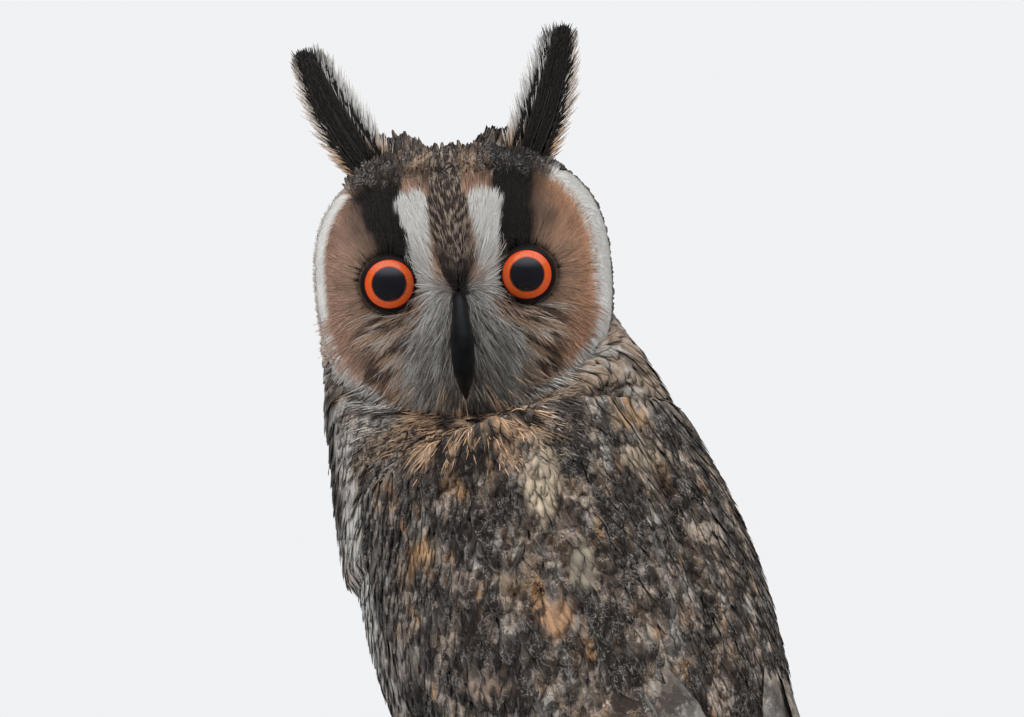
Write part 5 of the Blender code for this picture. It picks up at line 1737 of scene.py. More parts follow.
def wing_feathers(side, rng):
    """The larger feathers of one folded wing, tier over tier from the flight feathers up."""
    parts = []
    for tier, row in WING_TIERS.items():
        count, root_a, root_b, tip_a, tip_b, half_width, lifts, pull, bars = row
        t = np.linspace(0, 1, count)[:, None]
        root = between(np.array(root_a, float), np.array(root_b, float), t)
        tip = between(np.array(tip_a, float), np.array(tip_b, float), t)
        tip[:, 0] -= pull * np.sin(math.pi * np.minimum(1, t[:, 0] * 1.6))
        tip = tip + rng.normal(0, 1, tip.shape) * (1.6, 0.8)
        long = tier in ("primary", "secondary", "tertial")
        steps = 8 if long else 5
        share = np.linspace(0, 1, steps + 1)[None]
        along = between(root[:, :1], tip[:, :1], share) * MM
        angle = np.radians(between(root[:, 1:], tip[:, 1:], share**0.85))
        rise = share ** (0.9 if tier == "primary" else 2.2)
        lift = between(lifts[0], lifts[1], rise) + t * 1.2 * rise
        lift = lift + (2.5 * share if side < 0 else 0)
        normals = body_normals(WING_BED, along, angle)
        paths = on_body(WING_BED, along, angle) + normals * (lift * MM)[..., None]
        flip = np.array((side, 1, 1))
        part = vanes(
            paths * flip, normals * flip,
            np.full(count, half_width * MM) * rng.uniform(0.93, 1.07, count),
            rng, columns=6, lift=(0.0, 0.3), camber=0.7, ragged=0.03 if long else 0.07, thick=0.35,
            root=0.35, tip=0.3 if long else 0.42, hug=0.8, point=0.6 if long else 0.45,
        )
        v = part["shape"][:, 1]
        if long:
            noise = cloud(part["points"], 11 * MM, 31)
            base = between(
                between(colour_of("buff"), colour_of("ochre"), 0.4), colour_of("brown"), 0.45
            )
            colour = blend(base, colour_of("bristle") * 0.7, soft(v + 0.3 * noise, 0.1, 0.5))
            marks = np.array((0.15, bars, 0.6, 0.25))
        else:
            colour, _ = coat_colours(part["points"])
            spot = soft(v, 0.74, 0.92) * soft(part["shape"][:, 0] * side, -0.1, 0.5)
            colour = blend(colour, colour_of("white") * 0.85, spot * 0.5)
            marks = np.array((0.6, bars, 0.9, 0.35))
        parts.append(painted(part, colour, marks, rng, 0.1))
    return parts


TAIL_PAIRS = 6
TAIL_ROOT = -62 * MM
TAIL_TIP = -206 * MM


def tail_feathers(rng):
    """Six pairs of barred tail feathers, the middle pair on top, and coverts over their roots."""
    parts = []
    steps = 8
    share = np.linspace(0, 1, steps + 1)
    for i in range(TAIL_PAIRS):
        for side in (1, -1):
            under = (i + (side < 0) * 0.5) * 0.9 * MM
            along = between(TAIL_ROOT, TAIL_TIP + i * 1.4 * MM, share)
            across = side * between(2.6 + i * 1.5, 6 + i * 4.2, share**1.2) * MM
            depth = between(17 * MM, 2 * MM, share) - under - 1.2 * MM * i * share
            paths = body_point(along, across, depth)[None]
            normals = np.broadcast_to(BACKWARD, paths.shape)
            half = np.array([9.0 * MM if i else 8.0 * MM])
            part = vanes(
                paths, normals, half, rng, columns=6, lift=(0, 0.2), camber=0.8, ragged=0.03,
                thick=0.4,
                root=0.3, tip=0.5, point=0.35, tilt=side * 0.03,
            )
            v = part["shape"][:, 1]
            colour = blend(colour_of("buff") * 1.05, colour_of("bristle") * 0.75, soft(v, 0.2, 0.9))
            parts.append(painted(part, colour, (0.12, 0.9, 0.5, 0.2)))
    for front, count, reach in ((False, 26, 44), (True, 30, 62)):
        t = np.linspace(0, 1, 6)
        start = rng.uniform(-1, 1, count)
        root_along = rng.uniform(-64, -50, count)[:, None] * MM
        along = root_along - reach * MM * rng.uniform(0.8, 1.1, count)[:, None] * t
        across = (start * 13 * MM)[:, None] * (1 + 0.25 * t)
        depth = (between(4.0, 0.5, t) if front else between(24.0, 13.0, t)) * MM
        way = -1 if front else 1
        depth = depth + 0 * along - (start**2 * 3 * MM)[:, None] * way
        paths = body_point(along, across, depth)
        normals = np.broadcast_to(BACKWARD * way, paths.shape)
        part = vanes(
            paths, normals, rng.uniform(5, 7, count) * MM, rng, columns=4, lift=(0, 1.2),
            ragged=0.15,
        )
        colour = colour_of("buff") * (1.15 if front else 0.95)
        marks = (0.3, 0.1, 0.1, 0.4) if front else (0.6, 0.4, 0.7, 0.4)
        parts.append(painted(part, colour, marks, rng, 0.12))
    return parts


# Ear tufts


def tuft_feathers(side, rng):
    """One ear tuft: blackish feathers whose loose pale barbs fringe them, most on the inside."""
    root = np.array((side * TUFT_SPREAD, -3 * MM, FACE_TOP - 8 * MM))
    count, barbs = 17, 90
    t = np.linspace(0, 1, count)
    lean = side * (TUFT_TILTS[side] + np.radians(between(-3, 2, t)))
    reach = (
        TUFT_LENGTH * between(0.8, 1.02, np.sin(math.pi * between(0.16, 0.78, t)))
        * rng.uniform(0.99, 1.01, count)
    )
    share = np.linspace(0, 1, 9)
    bend = lean[:, None] + side * math.radians(9) * (0.8 - share)
    lens = 1.12 + 0.12 * np.sin(math.pi * share) - 0.75 * share**2
    aside = side * between(-5.2, 4.8, t)[:, None] * lens * MM
    layer = ((np.arange(count) * 2 % 5) - 2)[:, None] * (1 - 0.7 * share**2)
    paths = root + np.stack(
        (
            aside + np.sin(bend) * reach[:, None] * share,
            (layer * 1.3 - 2.0 * np.sin(math.pi * share) + 1.5 * share) * MM,
            np.cos(bend) * reach[:, None] * share,
        ),
        -1,
    )
    facing = np.broadcast_to(np.array((0, -1.0, 0)), paths.shape)
    black, white, ochre = colour_of("black"), colour_of("white"), colour_of("ochre")
    core = np.interp(t, (0, 0.2, 0.8, 1), (0.8, 1.7, 1.7, 1.0)) * MM
    parts = []
    for face in (1, -1):
        part = vanes(
            *in_world(paths + np.array((0, face * 0.4 * MM, 0)), facing * face),
            core, rng, columns=4, lift=(0, 0.2), camber=0.15, ragged=0.12, tip=0.3, root=0.8,
            point=0.25,
        )
        v = part["shape"][:, 1]
        colour = blend(between(black, colour_of("brown"), 0.4), black, soft(v, 0, 0.3))
        parts.append(painted(part, colour))
    at = np.tile(np.linspace(0.06, 0.99, barbs), (count, 1)) + rng.normal(0, 0.006, (count, barbs))
    way = unit(np.gradient(paths, axis=1))

    def along_each(values):
        sampled = [
            [np.interp(at[i], share, values[i, :, a]) for a in range(3)] for i in range(count)
        ]
        return np.array(sampled).transpose(0, 2, 1)

    places, way = along_each(paths), along_each(way)
    out = np.cross(way, np.array((0, 1.0, 0)))
    for hand in (1, -1):
        inner = hand * side > 0
        edge = (soft(t, 0.5, 0.0) if inner else soft(t, 0.6, 0.95))[:, None] * np.ones((1, barbs))
        length = (
            between(3.0, 7.6 if inner else 5.2, edge)
            * np.sin(math.pi * between(0.26, 0.88, at)) ** 0.55
        )
        length = length * rng.uniform(0.7, 1.2, at.shape)
        slant = rng.normal(0.2 + (0.42 if inner else 0.32) * edge, 0.1)[..., None]
        heading = unit(
            out * hand * np.sin(slant) + way * np.cos(slant) + rng.normal(0, 0.05, places.shape)
        )
        k = np.linspace(0, 1, 4)[None, None, :, None]
        curve = places[:, :, None] + heading[:, :, None] * (length * MM)[..., None, None] * k
        curve = curve + way[:, :, None] * (length * MM * 0.2)[..., None, None] * k**2
        face = np.where(rng.uniform(0, 1, at.shape) < 0.5, -1.0, 1.0)
        curve[..., 1] += (
            (face * rng.uniform(0.4, 2.2, at.shape))[..., None] * MM * (0.3 + 0.7 * k[..., 0])
        )
        curve = curve.reshape(-1, 4, 3)
        normals = np.zeros(curve.shape)
        normals[..., 1] = face.reshape(-1, 1)
        widths = rng.uniform(0.26, 0.44, len(curve)) * MM
        part = strands(*in_world(curve, normals), widths, (0.1, 0.1))
        owner, v = part["owner"], part["shape"][:, 1]
        edge_share, high = edge.reshape(-1)[owner], at.reshape(-1)[owner]
        pale = blend(white * 0.95, ochre, soft(high, 0.42, 0.12) * soft(v, 0.9, 0.4))
        if not inner:
            pale = between(pale, ochre, 0.2)
        strength = soft(edge_share, 0.3, 0.85) * between(0.25, 1.0, soft(high, 0.98, 0.8))
        colour = blend(
            black, pale, soft(v + rng.normal(0, 0.1, len(curve))[owner], 0.1, 0.4) * strength
        )
        parts.append(painted(part, colour, UNMARKED, rng, 0.08))
    return parts


# Eyes, bill and claws


def eyeball(side):
    """A ball with a clear bulge ahead of the iris, and its map of angle and reach."""
    around, count = 64, 44
    turn = np.concatenate(
        (np.linspace(0.004, 1.2, 30), np.linspace(1.3, math.pi - 0.02, count - 30))
    )
    radius = EYE_RADIUS * np.sin(turn)
    bulge = CORNEA_BULGE * np.clip(1 - (radius / CORNEA_RADIUS) ** 2, 0, 1) * (turn < 1.5)
    ahead = EYE_RADIUS * np.cos(turn) + bulge
    angles = circle(around)
    rings = np.stack(
        (
            side * EYE_SPREAD + radius[:, None] * np.cos(angles),
            np.broadcast_to(-EYE_FORWARD - ahead[:, None], (count, around)),
            radius[:, None] * np.sin(angles),
        ),
        -1,
    )
    points, quads, triangles = tube(head_to_world(rings))
    reach = np.where(turn < math.pi / 2, radius, 2 * EYE_RADIUS - radius) / (10 * MM)
    place = np.stack(np.broadcast_arrays(angles[None] / (2 * math.pi), reach[:, None]), -1)
    return points, quads, triangles, place.reshape(-1, 2)


def lid(side):
    """The bare rim of the lids: a soft black ring, a little narrower above and below."""
    around = 72
    angles = circle(around)
    profile = np.array(
        (
            (7.5, 5.9), (7.6, 6.5), (7.9, 6.75), (8.25, 6.55), (8.7, 5.9), (9.1, 4.7), (8.9, 3.2),
            (8.2, 3.6),
        )
    ) * MM
    squeeze = 1 - 0.03 * np.sin(angles) ** 2
    reach = profile[None, :, 0] * (squeeze * (1 + 0.006 * np.sin(angles * 23)))[:, None]
    rings = np.stack(
        (
            side * EYE_SPREAD + reach * np.cos(angles)[:, None],
            np.broadcast_to(-EYE_FORWARD - profile[None, :, 1], reach.shape),
            reach * np.sin(angles)[:, None],
        ),
        -1,
    )
    quads, _ = tube_faces(around + 1, len(profile), capped=False)
    quads = quads % (around * len(profile))
    points = head_to_world(rings.reshape(-1, 3))
    middle = np.array((side * EYE_SPREAD, -EYE_FORWARD - 5 * MM, 0))
    quads, triangles = turn_out(points - head_to_world(middle), quads, np.zeros((0, 3), int))
    return points, quads, triangles


def arc_path(points, count):
    """A smooth curve through a few points."""
    points = np.asarray(points, float)
    places = np.linspace(0, 1, len(points))
    slopes = np.gradient(points, places, axis=0)
    u = np.linspace(0, 1, count)
    k = np.minimum((u * (len(points) - 1)).astype(int), len(points) - 2)
    width = (places[k + 1] - places[k])[:, None]
    t = (u - places[k])[:, None] / width
    return hermite(points, slopes, k, width, t)


BILL_UPPER = ((0, -26, -2), (0, -32, -9), (0, -35.5, -19), (0, -35.5, -29), (0, -33, -37))
BILL_LOWER = ((0, -20, -18), (0, -26, -25), (0, -29, -30), (0, -30.4, -34))


def bill_horn(path, widths, depths, ridge, nostrils=False):
    """One half of the bill: a tapered, bent tube with a ridge along its front."""
    count, around = 56, 40
    line = arc_path(np.array(path) * MM, count)
    steps = np.linspace(0, 1, len(widths))
    wanted = np.linspace(0, 1, count)
    half = np.interp(wanted, steps, widths) * MM
    deep = np.interp(wanted, steps, depths) * MM
    along = unit(np.gradient(line, axis=0))
    side = np.array((1.0, 0, 0))
    out = np.cross(side, along)
    angles = circle(around)
    sharp = 1 + ridge * np.clip(np.sin(angles), 0, 1) ** 6
    flank = np.sign(np.cos(angles)) * np.abs(np.cos(angles)) ** 1.15
    rings = (
        line[:, None]
        + side * (half[:, None] * flank[None])[..., None]
        + out[:, None] * (deep[:, None] * (np.sin(angles) * sharp)[None])[..., None]
    )
    if nostrils:
        for hand in (1, -1):
            off = np.linalg.norm(rings - np.array((hand * 3.9, -34.0, -12.0)) * MM, axis=-1)
            rings = rings - np.array((hand, -0.3, 0)) * (1.3 * MM * bell(off, 1.2 * MM))[..., None]
    return tube(head_to_world(rings))


def claw_tube(side, toe):
    start, end, direction, reach = toe
    slope = (end - start) / reach
    t = np.linspace(0, 1, 18)
    thick = between(2.3, 0.3, t**0.8) * MM
    off = BRANCH_RADIUS + between(3.6, 1.5, t) * MM + 1.2 * MM * np.sin(math.pi * t)
    across = side * (LEG_SPREAD + end + slope * 30 * t)
    path = round_branch(across, direction, reach + 0.5 + 43.5 * t, off)
    return tube(ring_along(path, thick, 18, 0.85))


# Branch, base and rods


def branch_shape():
    """A cut length of branch with ridged bark and flat sawn ends."""
    count, around = 200, 84
    x = np.linspace(-BRANCH_LENGTH / 2, BRANCH_LENGTH / 2, count)[:, None]
    angle = circle(around)[None]
    knots = 1.6 * bell(x - 66 * MM, 9 * MM) + 1.2 * bell(x + 58 * MM, 8 * MM)
    radius = BRANCH_RADIUS - 0.8 * MM * x / (BRANCH_LENGTH / 2) + knots * MM
    radius = radius * (1 + 0.02 * np.sin(3 * angle + x / (30 * MM)))
    flat = np.stack(
        np.broadcast_arrays(x * 0.25, radius * np.cos(angle), radius * np.sin(angle)), -1
    )
    ridges = cloud(flat, 2.4 * MM, 41) * 0.65 + cloud(flat, 1.1 * MM, 42) * 0.35
    radius = (
        radius
        - (1.1 * MM) * (1 - ridges) ** 1.5 * soft(BRANCH_LENGTH / 2 - np.abs(x), 0, 1.5 * MM) ** 0.5
    )
    sag = 3 * MM * (x / (BRANCH_LENGTH / 2)) ** 2
    height = PERCH_TOP - BRANCH_RADIUS - sag + radius * np.sin(angle)
    rings = np.stack(np.broadcast_arrays(x, radius * np.cos(angle), height), -1)
    return tube(rings)


def flake_shape():
    """One small lobed flake, thin at its edge."""
    angles = circle(12)
    lobes = 1 + 0.22 * np.sin(angles * 3 + 0.6) + 0.1 * np.sin(angles * 5)
    rings = [
        np.stack(
            (reach * lobes * np.cos(angles), reach * lobes * np.sin(angles), height + 0 * angles),
            -1,
        )
        for reach, height in ((0.1, -0.3), (0.9, -0.15), (1.0, 0.05), (0.6, 0.22), (0.1, 0.3))
    ]
    return tube(np.array(rings) * MM)


def flakes_on_surface():
    """A node group that sets copies of a flake on a surface, in clumps."""
    group = bpy.data.node_groups.new("flakes_on_surface", "GeometryNodeTree")
    kinds = {
        "Surface": "Geometry", "Flake": "Object", "Density": "Float", "Seed": "Int",
        "Material": "Material",
    }
    for name, kind in kinds.items():
        group.interface.new_socket(name, in_out="INPUT", socket_type="NodeSocket" + kind)
    group.interface.new_socket("Flakes", in_out="OUTPUT", socket_type="NodeSocketGeometry")
    given = add(group, "NodeGroupInput").outputs
    clumps = add(group, NOISE, None, 60.0, 2.0)
    share = add(group, STEP, clumps, 0.5, 0.62)
    density = add(group, MATHS, share, given["Density"], operation="MULTIPLY")
    spots = add(
        group, "GeometryNodeDistributePointsOnFaces", given["Surface"], None, density, given["Seed"]
    )
    size = add(group, "FunctionNodeRandomValue", 0.45, 1.5, None, given["Seed"], data_type="FLOAT")
    flake = add(group, "GeometryNodeObjectInfo", given["Flake"]).outputs["Geometry"]
    rotation = spots.outputs["Rotation"]
    settled = add(group, "GeometryNodeInstanceOnPoints", named={
        "Points": spots, "Instance": flake, "Rotation": rotation, "Scale": size,
    })
    whole = add(group, "GeometryNodeRealizeInstances", settled)
    dressed = add(group, "GeometryNodeSetMaterial", whole, None, given["Material"])
    add(group, "NodeGroupOutput", dressed)
    return group


def grown(name, surface, group, **inputs):
    """The mesh that a node group makes on a surface, as a plain object with no modifier."""
    obj = bpy.data.objects.new(name, surface.data.copy())
    bpy.context.scene.collection.objects.link(obj)
    modifier = obj.modifiers.new("grow", "NODES")
    modifier.node_group = group
    for socket in group.interface.items_tree:
        if socket.in_out == "INPUT" and socket.name in inputs:
            modifier[socket.identifier] = inputs[socket.name]
    graph = bpy.context.evaluated_depsgraph_get()
    mesh = bpy.data.meshes.new_from_object(obj.evaluated_get(graph))
    obj.modifiers.clear()
    obj.data = mesh
    return obj


def turned(profile, around=144):
    """A turned shape round the upright axis, from (radius, height) pairs."""
    profile = np.array(profile)
    angles = circle(around)
    rings = np.stack(
        np.broadcast_arrays(
            profile[:, :1] * np.cos(angles), profile[:, :1] * np.sin(angles), profile[:, 1:]
        ),
        -1,
    )
    return tube(rings)


BOTTOM_EDGE = 1.0 * MM


def rounded_disc(radius, height, edge, low=0.0):
    """Profile of a disc with rounded edges, from its middle below to its middle above."""
    turn = np.linspace(-math.pi / 2, math.pi / 2, 17)
    top = low + height
    rows = [(0.0005, low), (radius - BOTTOM_EDGE - 2 * MM, low)]
    for bend, middle, part in (
        (BOTTOM_EDGE, low + BOTTOM_EDGE, turn[:9]), (edge, top - edge, turn[8:])
    ):
        rows += [
            (radius - bend + bend * math.cos(a), middle + bend * math.sin(a)) for a in part
        ]
    return rows + [(radius - edge - 2 * MM, top), (0.0005, top)]


# Settings


class OwlColours(bpy.types.PropertyGroup):
    """Colours of the plumage and of the eyes."""

    def colour(name, told, code):
        return FloatVectorProperty(
            name=name, description=told, subtype="COLOR", size=3, min=0, max=1, default=linear(code)
        )

    disc: colour("Facial disc", "Tan of the outer halves of the face", "#8F7463")
    white: colour("White", "White of the brows, the rim and the feather spots", "#BDBBB6")
    bristle: colour(
        "Bristles", "Grey of the bristles round the bill and of the vermiculation", "#8C867F"
    )
    black: colour("Black", "Black of the eye patches, the ruff and the ear tufts", "#17120F")
    brown: colour("Brown", "Dark brown of the streaks and the crown", "#3D322C")
    buff: colour("Buff", "Buff of the back, the breast and the legs", "#A08469")
    ochre: colour("Ochre", "Warm ochre at the feather bases", "#BC8850")
    iris: colour("Iris", "Orange of the iris", "#B84A12")
    iris_rim: colour("Iris rim", "Redder orange at the rim of the iris", "#C63C12")
    del colour


class OwlCoat(bpy.types.PropertyGroup):
    """Sizes of the coat."""

    depth: FloatProperty(
        name="Coat depth", description="How far the skin lies under the coat's surface",
        default=2 * MM, min=0, max=0.01, unit="LENGTH",
    )
    voxel: FloatProperty(
        name="Skin detail", description="Size of the cells that the skin is merged with",
        default=1.3 * MM, min=0.0008, max=0.005, unit="LENGTH",
    )
    crown_spacing: FloatProperty(
        name="Crown spacing", description="Distance between feather roots on the crown",
        default=1.9 * MM, min=0.0012, max=0.01, unit="LENGTH",
    )
    nape_spacing: FloatProperty(
        name="Nape spacing", description="Distance between feather roots on the neck",
        default=2.3 * MM, min=0.0015, max=0.02, unit="LENGTH",
    )
    body_spacing: FloatProperty(
        name="Body spacing", description="Distance between feather roots on the back and belly",
        default=2.6 * MM, min=0.002, max=0.02, unit="LENGTH",
    )
    leg_spacing: FloatProperty(
        name="Leg spacing", description="Distance between feather roots on legs and toes",
        default=2.3 * MM, min=0.0015, max=0.01, unit="LENGTH",
    )
    lichen: FloatProperty(
        name="Lichen", description="Flakes for each square metre of bark, where they are thickest",
        default=60000, min=0, max=500000,
    )
    seed: IntProperty(name="Seed", description="Start of the random draws", default=5, min=0)


class OwlStage(bpy.types.PropertyGroup):
    """The camera and the light."""

    azimuth: FloatProperty(
        name="Azimuth", description="Direction of the camera round the owl, in radians",
        default=VIEW_AZIMUTH, subtype="ANGLE",
    )
    elevation: FloatProperty(
        name="Elevation", description="Height of the camera's direction, in radians",
        default=VIEW_ELEVATION, subtype="ANGLE",
    )
    distance: FloatProperty(
        name="Distance", description="From the camera to the eyes", default=2.2, min=0.5,
        unit="LENGTH"
    )
    width: FloatProperty(
        name="Framed width", description="Width of the view at the eyes", default=0.3174, min=0.05,
        unit="LENGTH"
    )
    light: FloatProperty(
        name="Light", description="Strength of the soft lights", default=1.0, min=0
    )
    backdrop: FloatVectorProperty(
        name="Backdrop", description="Colour behind the owl", subtype="COLOR", size=3, min=0, max=1,
        default=(0.88, 0.885, 0.90),
    )


# Operators

SKIN = {}
LOOKS = {}


def look(name):
    """Each material is made once, the first time that a piece needs it."""
    makers = {
        "body": lambda: plumage("contour_feathers", 5.5, "#211A17", "#A9A49D"),
        "flight": lambda: plumage("flight_feathers", 15.0, "#2A221D", "#A8A59E"),
        "face": lambda: fine_plumage("facial_filaments"),
        "skin": down_skin,
        "eye": wet_eye,
        "lid": bare_lid,
        "bill": lambda: horn("slate_bill_horn", "#07090A", "#141A1B"),
        "claw": lambda: horn("black_claw_horn", "#0D0C0C", "#2A2625", 400.0),
        "bark": bark,
        "lichen": lichen,
        "walnut": walnut,
        "steel": brushed_steel,
    }
    if name not in LOOKS:
        LOOKS[name] = makers[name]()
    return LOOKS[name]


def draws(step):
    return np.random.default_rng((bpy.context.scene.owl_coat.seed, step))


def leg_distance(places):
    """How far places are from the middle lines of the legs, seen from above."""
    aside = np.abs(places[:, 0]) - LEG_SPREAD
    return np.hypot(aside, np.clip(np.abs(places[:, 1] - 2 * MM) - 3 * MM, 0, 1))


def regions(skin):
    """Which part of the bird each face of the skin is on."""
    places = skin.face_places
    head = world_to_head(places) / MM
    along, angle = body_places(places)
    degrees = np.abs(np.degrees(angle))
    x, z = head[:, 0] * MM, head[:, 2] * MM
    behind = head[:, 1] * MM > -face_front(x, z) - 0.3 * MM
    face = (head[:, 1] < -9) & (face_share(x, z) < 1.0) & (head[:, 2] > -46) & behind
    crown = (np.linalg.norm(head - (0, 0, 3), axis=1) < 54) & (head[:, 2] > -30) & ~face
    off = leg_distance(places)
    low = places[:, 2] < PERCH_TOP + 34 * MM
    leg = low & (off < 17 * MM) & (along < -40 * MM)
    foot = places[:, 2] < PERCH_TOP + 7 * MM
    leg = leg & ~foot
    body = ~(face | crown | leg | foot)
    wing = body & (degrees > 24) & (degrees < 108) & (along > -64 * MM)
    wing = wing & (along < np.where(degrees < 75, -50, -34) * MM)
    neck = body & (along > 48 * MM)
    return dict(face=face, crown=crown, leg=leg, foot=foot, neck=neck, body=body & ~wing & ~neck)


class OWL_OT_skin(bpy.types.Operator):
    """Makes the one skin that the coat grows from"""

    bl_idname = "owl.skin"
    bl_label = "Skin"

    def execute(self, context):
        coat_settings = context.scene.owl_coat
        obj = make_skin(coat_settings.depth, coat_settings.voxel)
        skin = SKIN["skin"] = Skin(obj)
        places = skin.places
        head = world_to_head(places)
        colours, _ = coat_colours(places)
        # Painted shade: the skin is darker than the coat (0.55, on the face 0.6), so gaps read as
        # shaded
        colours = colours * 0.55
        off = leg_distance(places)
        legs = (
            (places[:, 2] < PERCH_TOP + 30 * MM)
            & ((off < 17 * MM) | (places[:, 2] < PERCH_TOP + 7 * MM))
        )
        colours[legs] = colour_of("buff") * 0.85
        on_face = (head[:, 1] < -9 * MM) & (face_share(head[:, 0], head[:, 2]) < 1.02)
        colours[on_face] = face_colours(head[on_face, 0], head[on_face, 2], head[on_face]) * 0.6
        set_colour(obj.data, "tint", colours)
        dress(obj, look("skin"), FLESH)
        return {"FINISHED"}


class OWL_OT_face(bpy.types.Operator):
    """Lays the filaments of the facial discs, the brows and the bristles"""

    bl_idname = "owl.face"
    bl_label = "Face"

    def execute(self, context):
        for number, part in enumerate(face_strands(draws(1)), 1):
            coat_piece(f"face_filaments_{number}", part, look("face"), head_unwrap)
        return {"FINISHED"}


class OWL_OT_ruff(bpy.types.Operator):
    """Sets the stiff feathers round the face and the scaly ones of the forehead"""

    bl_idname = "owl.ruff"
    bl_label = "Ruff and forehead"

    def execute(self, context):
        *stiff, fringe = ruff(draws(2))
        coat_piece("facial_ruff", merged(stiff), look("body"), head_unwrap)
        coat_piece("ruff_fringe", fringe, look("face"), head_unwrap)
        coat_piece("forehead_feathers", merged(forehead_vanes(draws(3))), look("body"), head_unwrap)
        chin = [chin_strands(SKIN["skin"], draws(4)), beard_strands(draws(5))]
        coat_piece("chin_filaments", merged(chin), look("face"), head_unwrap)
        return {"FINISHED"}


class OWL_OT_body_coat(bpy.types.Operator):
    """Grows the small feathers of crown, neck, back, breast, legs and toes"""

    bl_idname = "owl.body_coat"
    bl_label = "Body coat"

    def execute(self, context):
        skin, sizes = SKIN["skin"], context.scene.owl_coat
        on = regions(skin)
        pieces = [
            # name, where, root spacing, length and half width in mm, lifts, unwrapping
            ("crown_feathers", on["crown"], sizes.crown_spacing, 7, 1.3, (0.2, 0.9), head_unwrap),
            ("neck_feathers", on["neck"], sizes.nape_spacing, 13, 1.7, (0.3, 1.7), body_unwrap),
        ]
        for hand, side in SIDES:
            here = on["body"] & (skin.face_places[:, 0] * hand >= 0)
            pieces.append(
                (
                    "body_feathers_" + side, here, sizes.body_spacing, 13, 2.1, (0.3, 1.6),
                    body_unwrap,
                )
            )
        for step, (name, where, spacing, length, half, lift, unwrap) in enumerate(pieces, 20):
            part = coat(
                skin, np.where(where, spacing, 0), length * MM, half * MM, draws(step), lift,
                stray=0.18, ragged=0.2, thick=0.2, tip=0.5,
            )
            coat_piece(name, part, look("body"), unwrap)
        spacing = (
            np.where(on["leg"], sizes.leg_spacing, 0)
            + np.where(on["foot"], sizes.leg_spacing * 0.85, 0)
        )
        part = coat(
            skin, spacing, 5.5 * MM, 1.3 * MM, draws(7), (0.1, 1.1), stray=0.25, ragged=0.3,
            thick=0.2, tip=0.4,
        )
        plain = colour_of("buff") * 1.15
        part["tint"] = plain * (0.8 + 0.4 * cloud(part["points"], 4 * MM, 51))[:, None]
        part["marks"][:] = (0.0, 0.0, 0.1, 0.3)
        coat_piece("leg_feathers", part, look("body"), body_unwrap)
        return {"FINISHED"}


class OWL_OT_wings(bpy.types.Operator):
    """Lays the feathers of both folded wings"""

    bl_idname = "owl.wings"
    bl_label = "Wings"

    def execute(self, context):
        for side, name in SIDES:
            part = merged(wing_feathers(side, draws(8 + side)))
            coat_piece(
                f"plumes_wing_{name}", part, look("flight"), body_unwrap, replaced=("wing_" + name,)
            )
        return {"FINISHED"}


class OWL_OT_tail(bpy.types.Operator):
    """Fans the tail feathers and their coverts"""

    bl_idname = "owl.tail"
    bl_label = "Tail"

    def execute(self, context):
        part = merged(tail_feathers(draws(10)))
        coat_piece("plumes_tail", part, look("flight"), body_unwrap, replaced=("tail",))
        return {"FINISHED"}


class OWL_OT_ear_tufts(bpy.types.Operator):
    """Raises the two ear tufts barb by barb"""

    bl_idname = "owl.ear_tufts"
    bl_label = "Ear tufts"

    def execute(self, context):
        for side, name in SIDES:
            part, node = merged(tuft_feathers(side, draws(12 + side))), "ear_tuft_" + name
            coat_piece("plumes_" + node, part, look("face"), head_unwrap, (node,))
        return {"FINISHED"}


class OWL_OT_eyes(bpy.types.Operator):
    """Makes the eyes and their bare lids"""

    bl_idname = "owl.eyes"
    bl_label = "Eyes"

    def execute(self, context):
        for side, name in SIDES:
            points, quads, triangles, place = eyeball(side)
            obj = mesh_object("eyeball_" + name, points, quads, triangles)
            set_map(obj.data, "iris", place)
            dress(obj, look("eye"), ("eye_" + name,))
            obj = mesh_object("eyelid_" + name, *lid(side))
            dress(obj, look("lid"))
        return {"FINISHED"}


class OWL_OT_bill(bpy.types.Operator):
    """Makes the two halves of the bill"""

    bl_idname = "owl.bill"
    bl_label = "Bill"

    def execute(self, context):
        upper = bill_horn(
            BILL_UPPER, (0.8, 2.4, 3.8, 3.3, 0.45), (1.2, 4.2, 5.5, 3.8, 0.45), 0.08, True
        )
        dress(mesh_object("bill_horn_upper", *upper), look("bill"), ("bill_upper",))
        lower = bill_horn(BILL_LOWER, (3.0, 3.2, 2.6, 1.0), (3.0, 2.6, 2.0, 0.9), 0.0)
        dress(mesh_object("bill_horn_lower", *lower), look("bill"), ("bill_lower",))
        return {"FINISHED"}


class OWL_OT_claws(bpy.types.Operator):
    """Makes the eight claws"""

    bl_idname = "owl.claws"
    bl_label = "Claws"

    def execute(self, context):
        for side, name in SIDES:
            for number, toe in enumerate(TOES, 1):
                obj = mesh_object(f"horn_claw_{name}_{number}", *claw_tube(side, toe))
                dress(obj, look("claw"), (f"claw_{name}_{number}",))
        return {"FINISHED"}


class OWL_OT_perch(bpy.types.Operator):
    """Makes the cut branch"""

    bl_idname = "owl.perch"
    bl_label = "Branch"

    def execute(self, context):
        obj = mesh_object("branch_bark", *branch_shape())
        dress(obj, look("bark"), ("perch_branch",))
        return {"FINISHED"}


class OWL_OT_lichen(bpy.types.Operator):
    """Sets flakes of lichen on the bark"""

    bl_idname = "owl.lichen"
    bl_label = "Lichen"

    def execute(self, context):
        bark_piece = bpy.data.objects.get("branch_bark")
        if bark_piece is None:
            raise RuntimeError("the branch comes before its lichen")
        settings = context.scene.owl_coat
        flake = mesh_object("flake", *flake_shape())
        group = flakes_on_surface()
        obj = grown(
            "lichen_flakes", bark_piece, group,
            Flake=flake, Density=settings.lichen, Seed=settings.seed, Material=look("lichen"),
        )
        bpy.data.objects.remove(flake)
        bpy.data.node_groups.remove(group)
        dress(obj, look("lichen"))
        return {"FINISHED"}


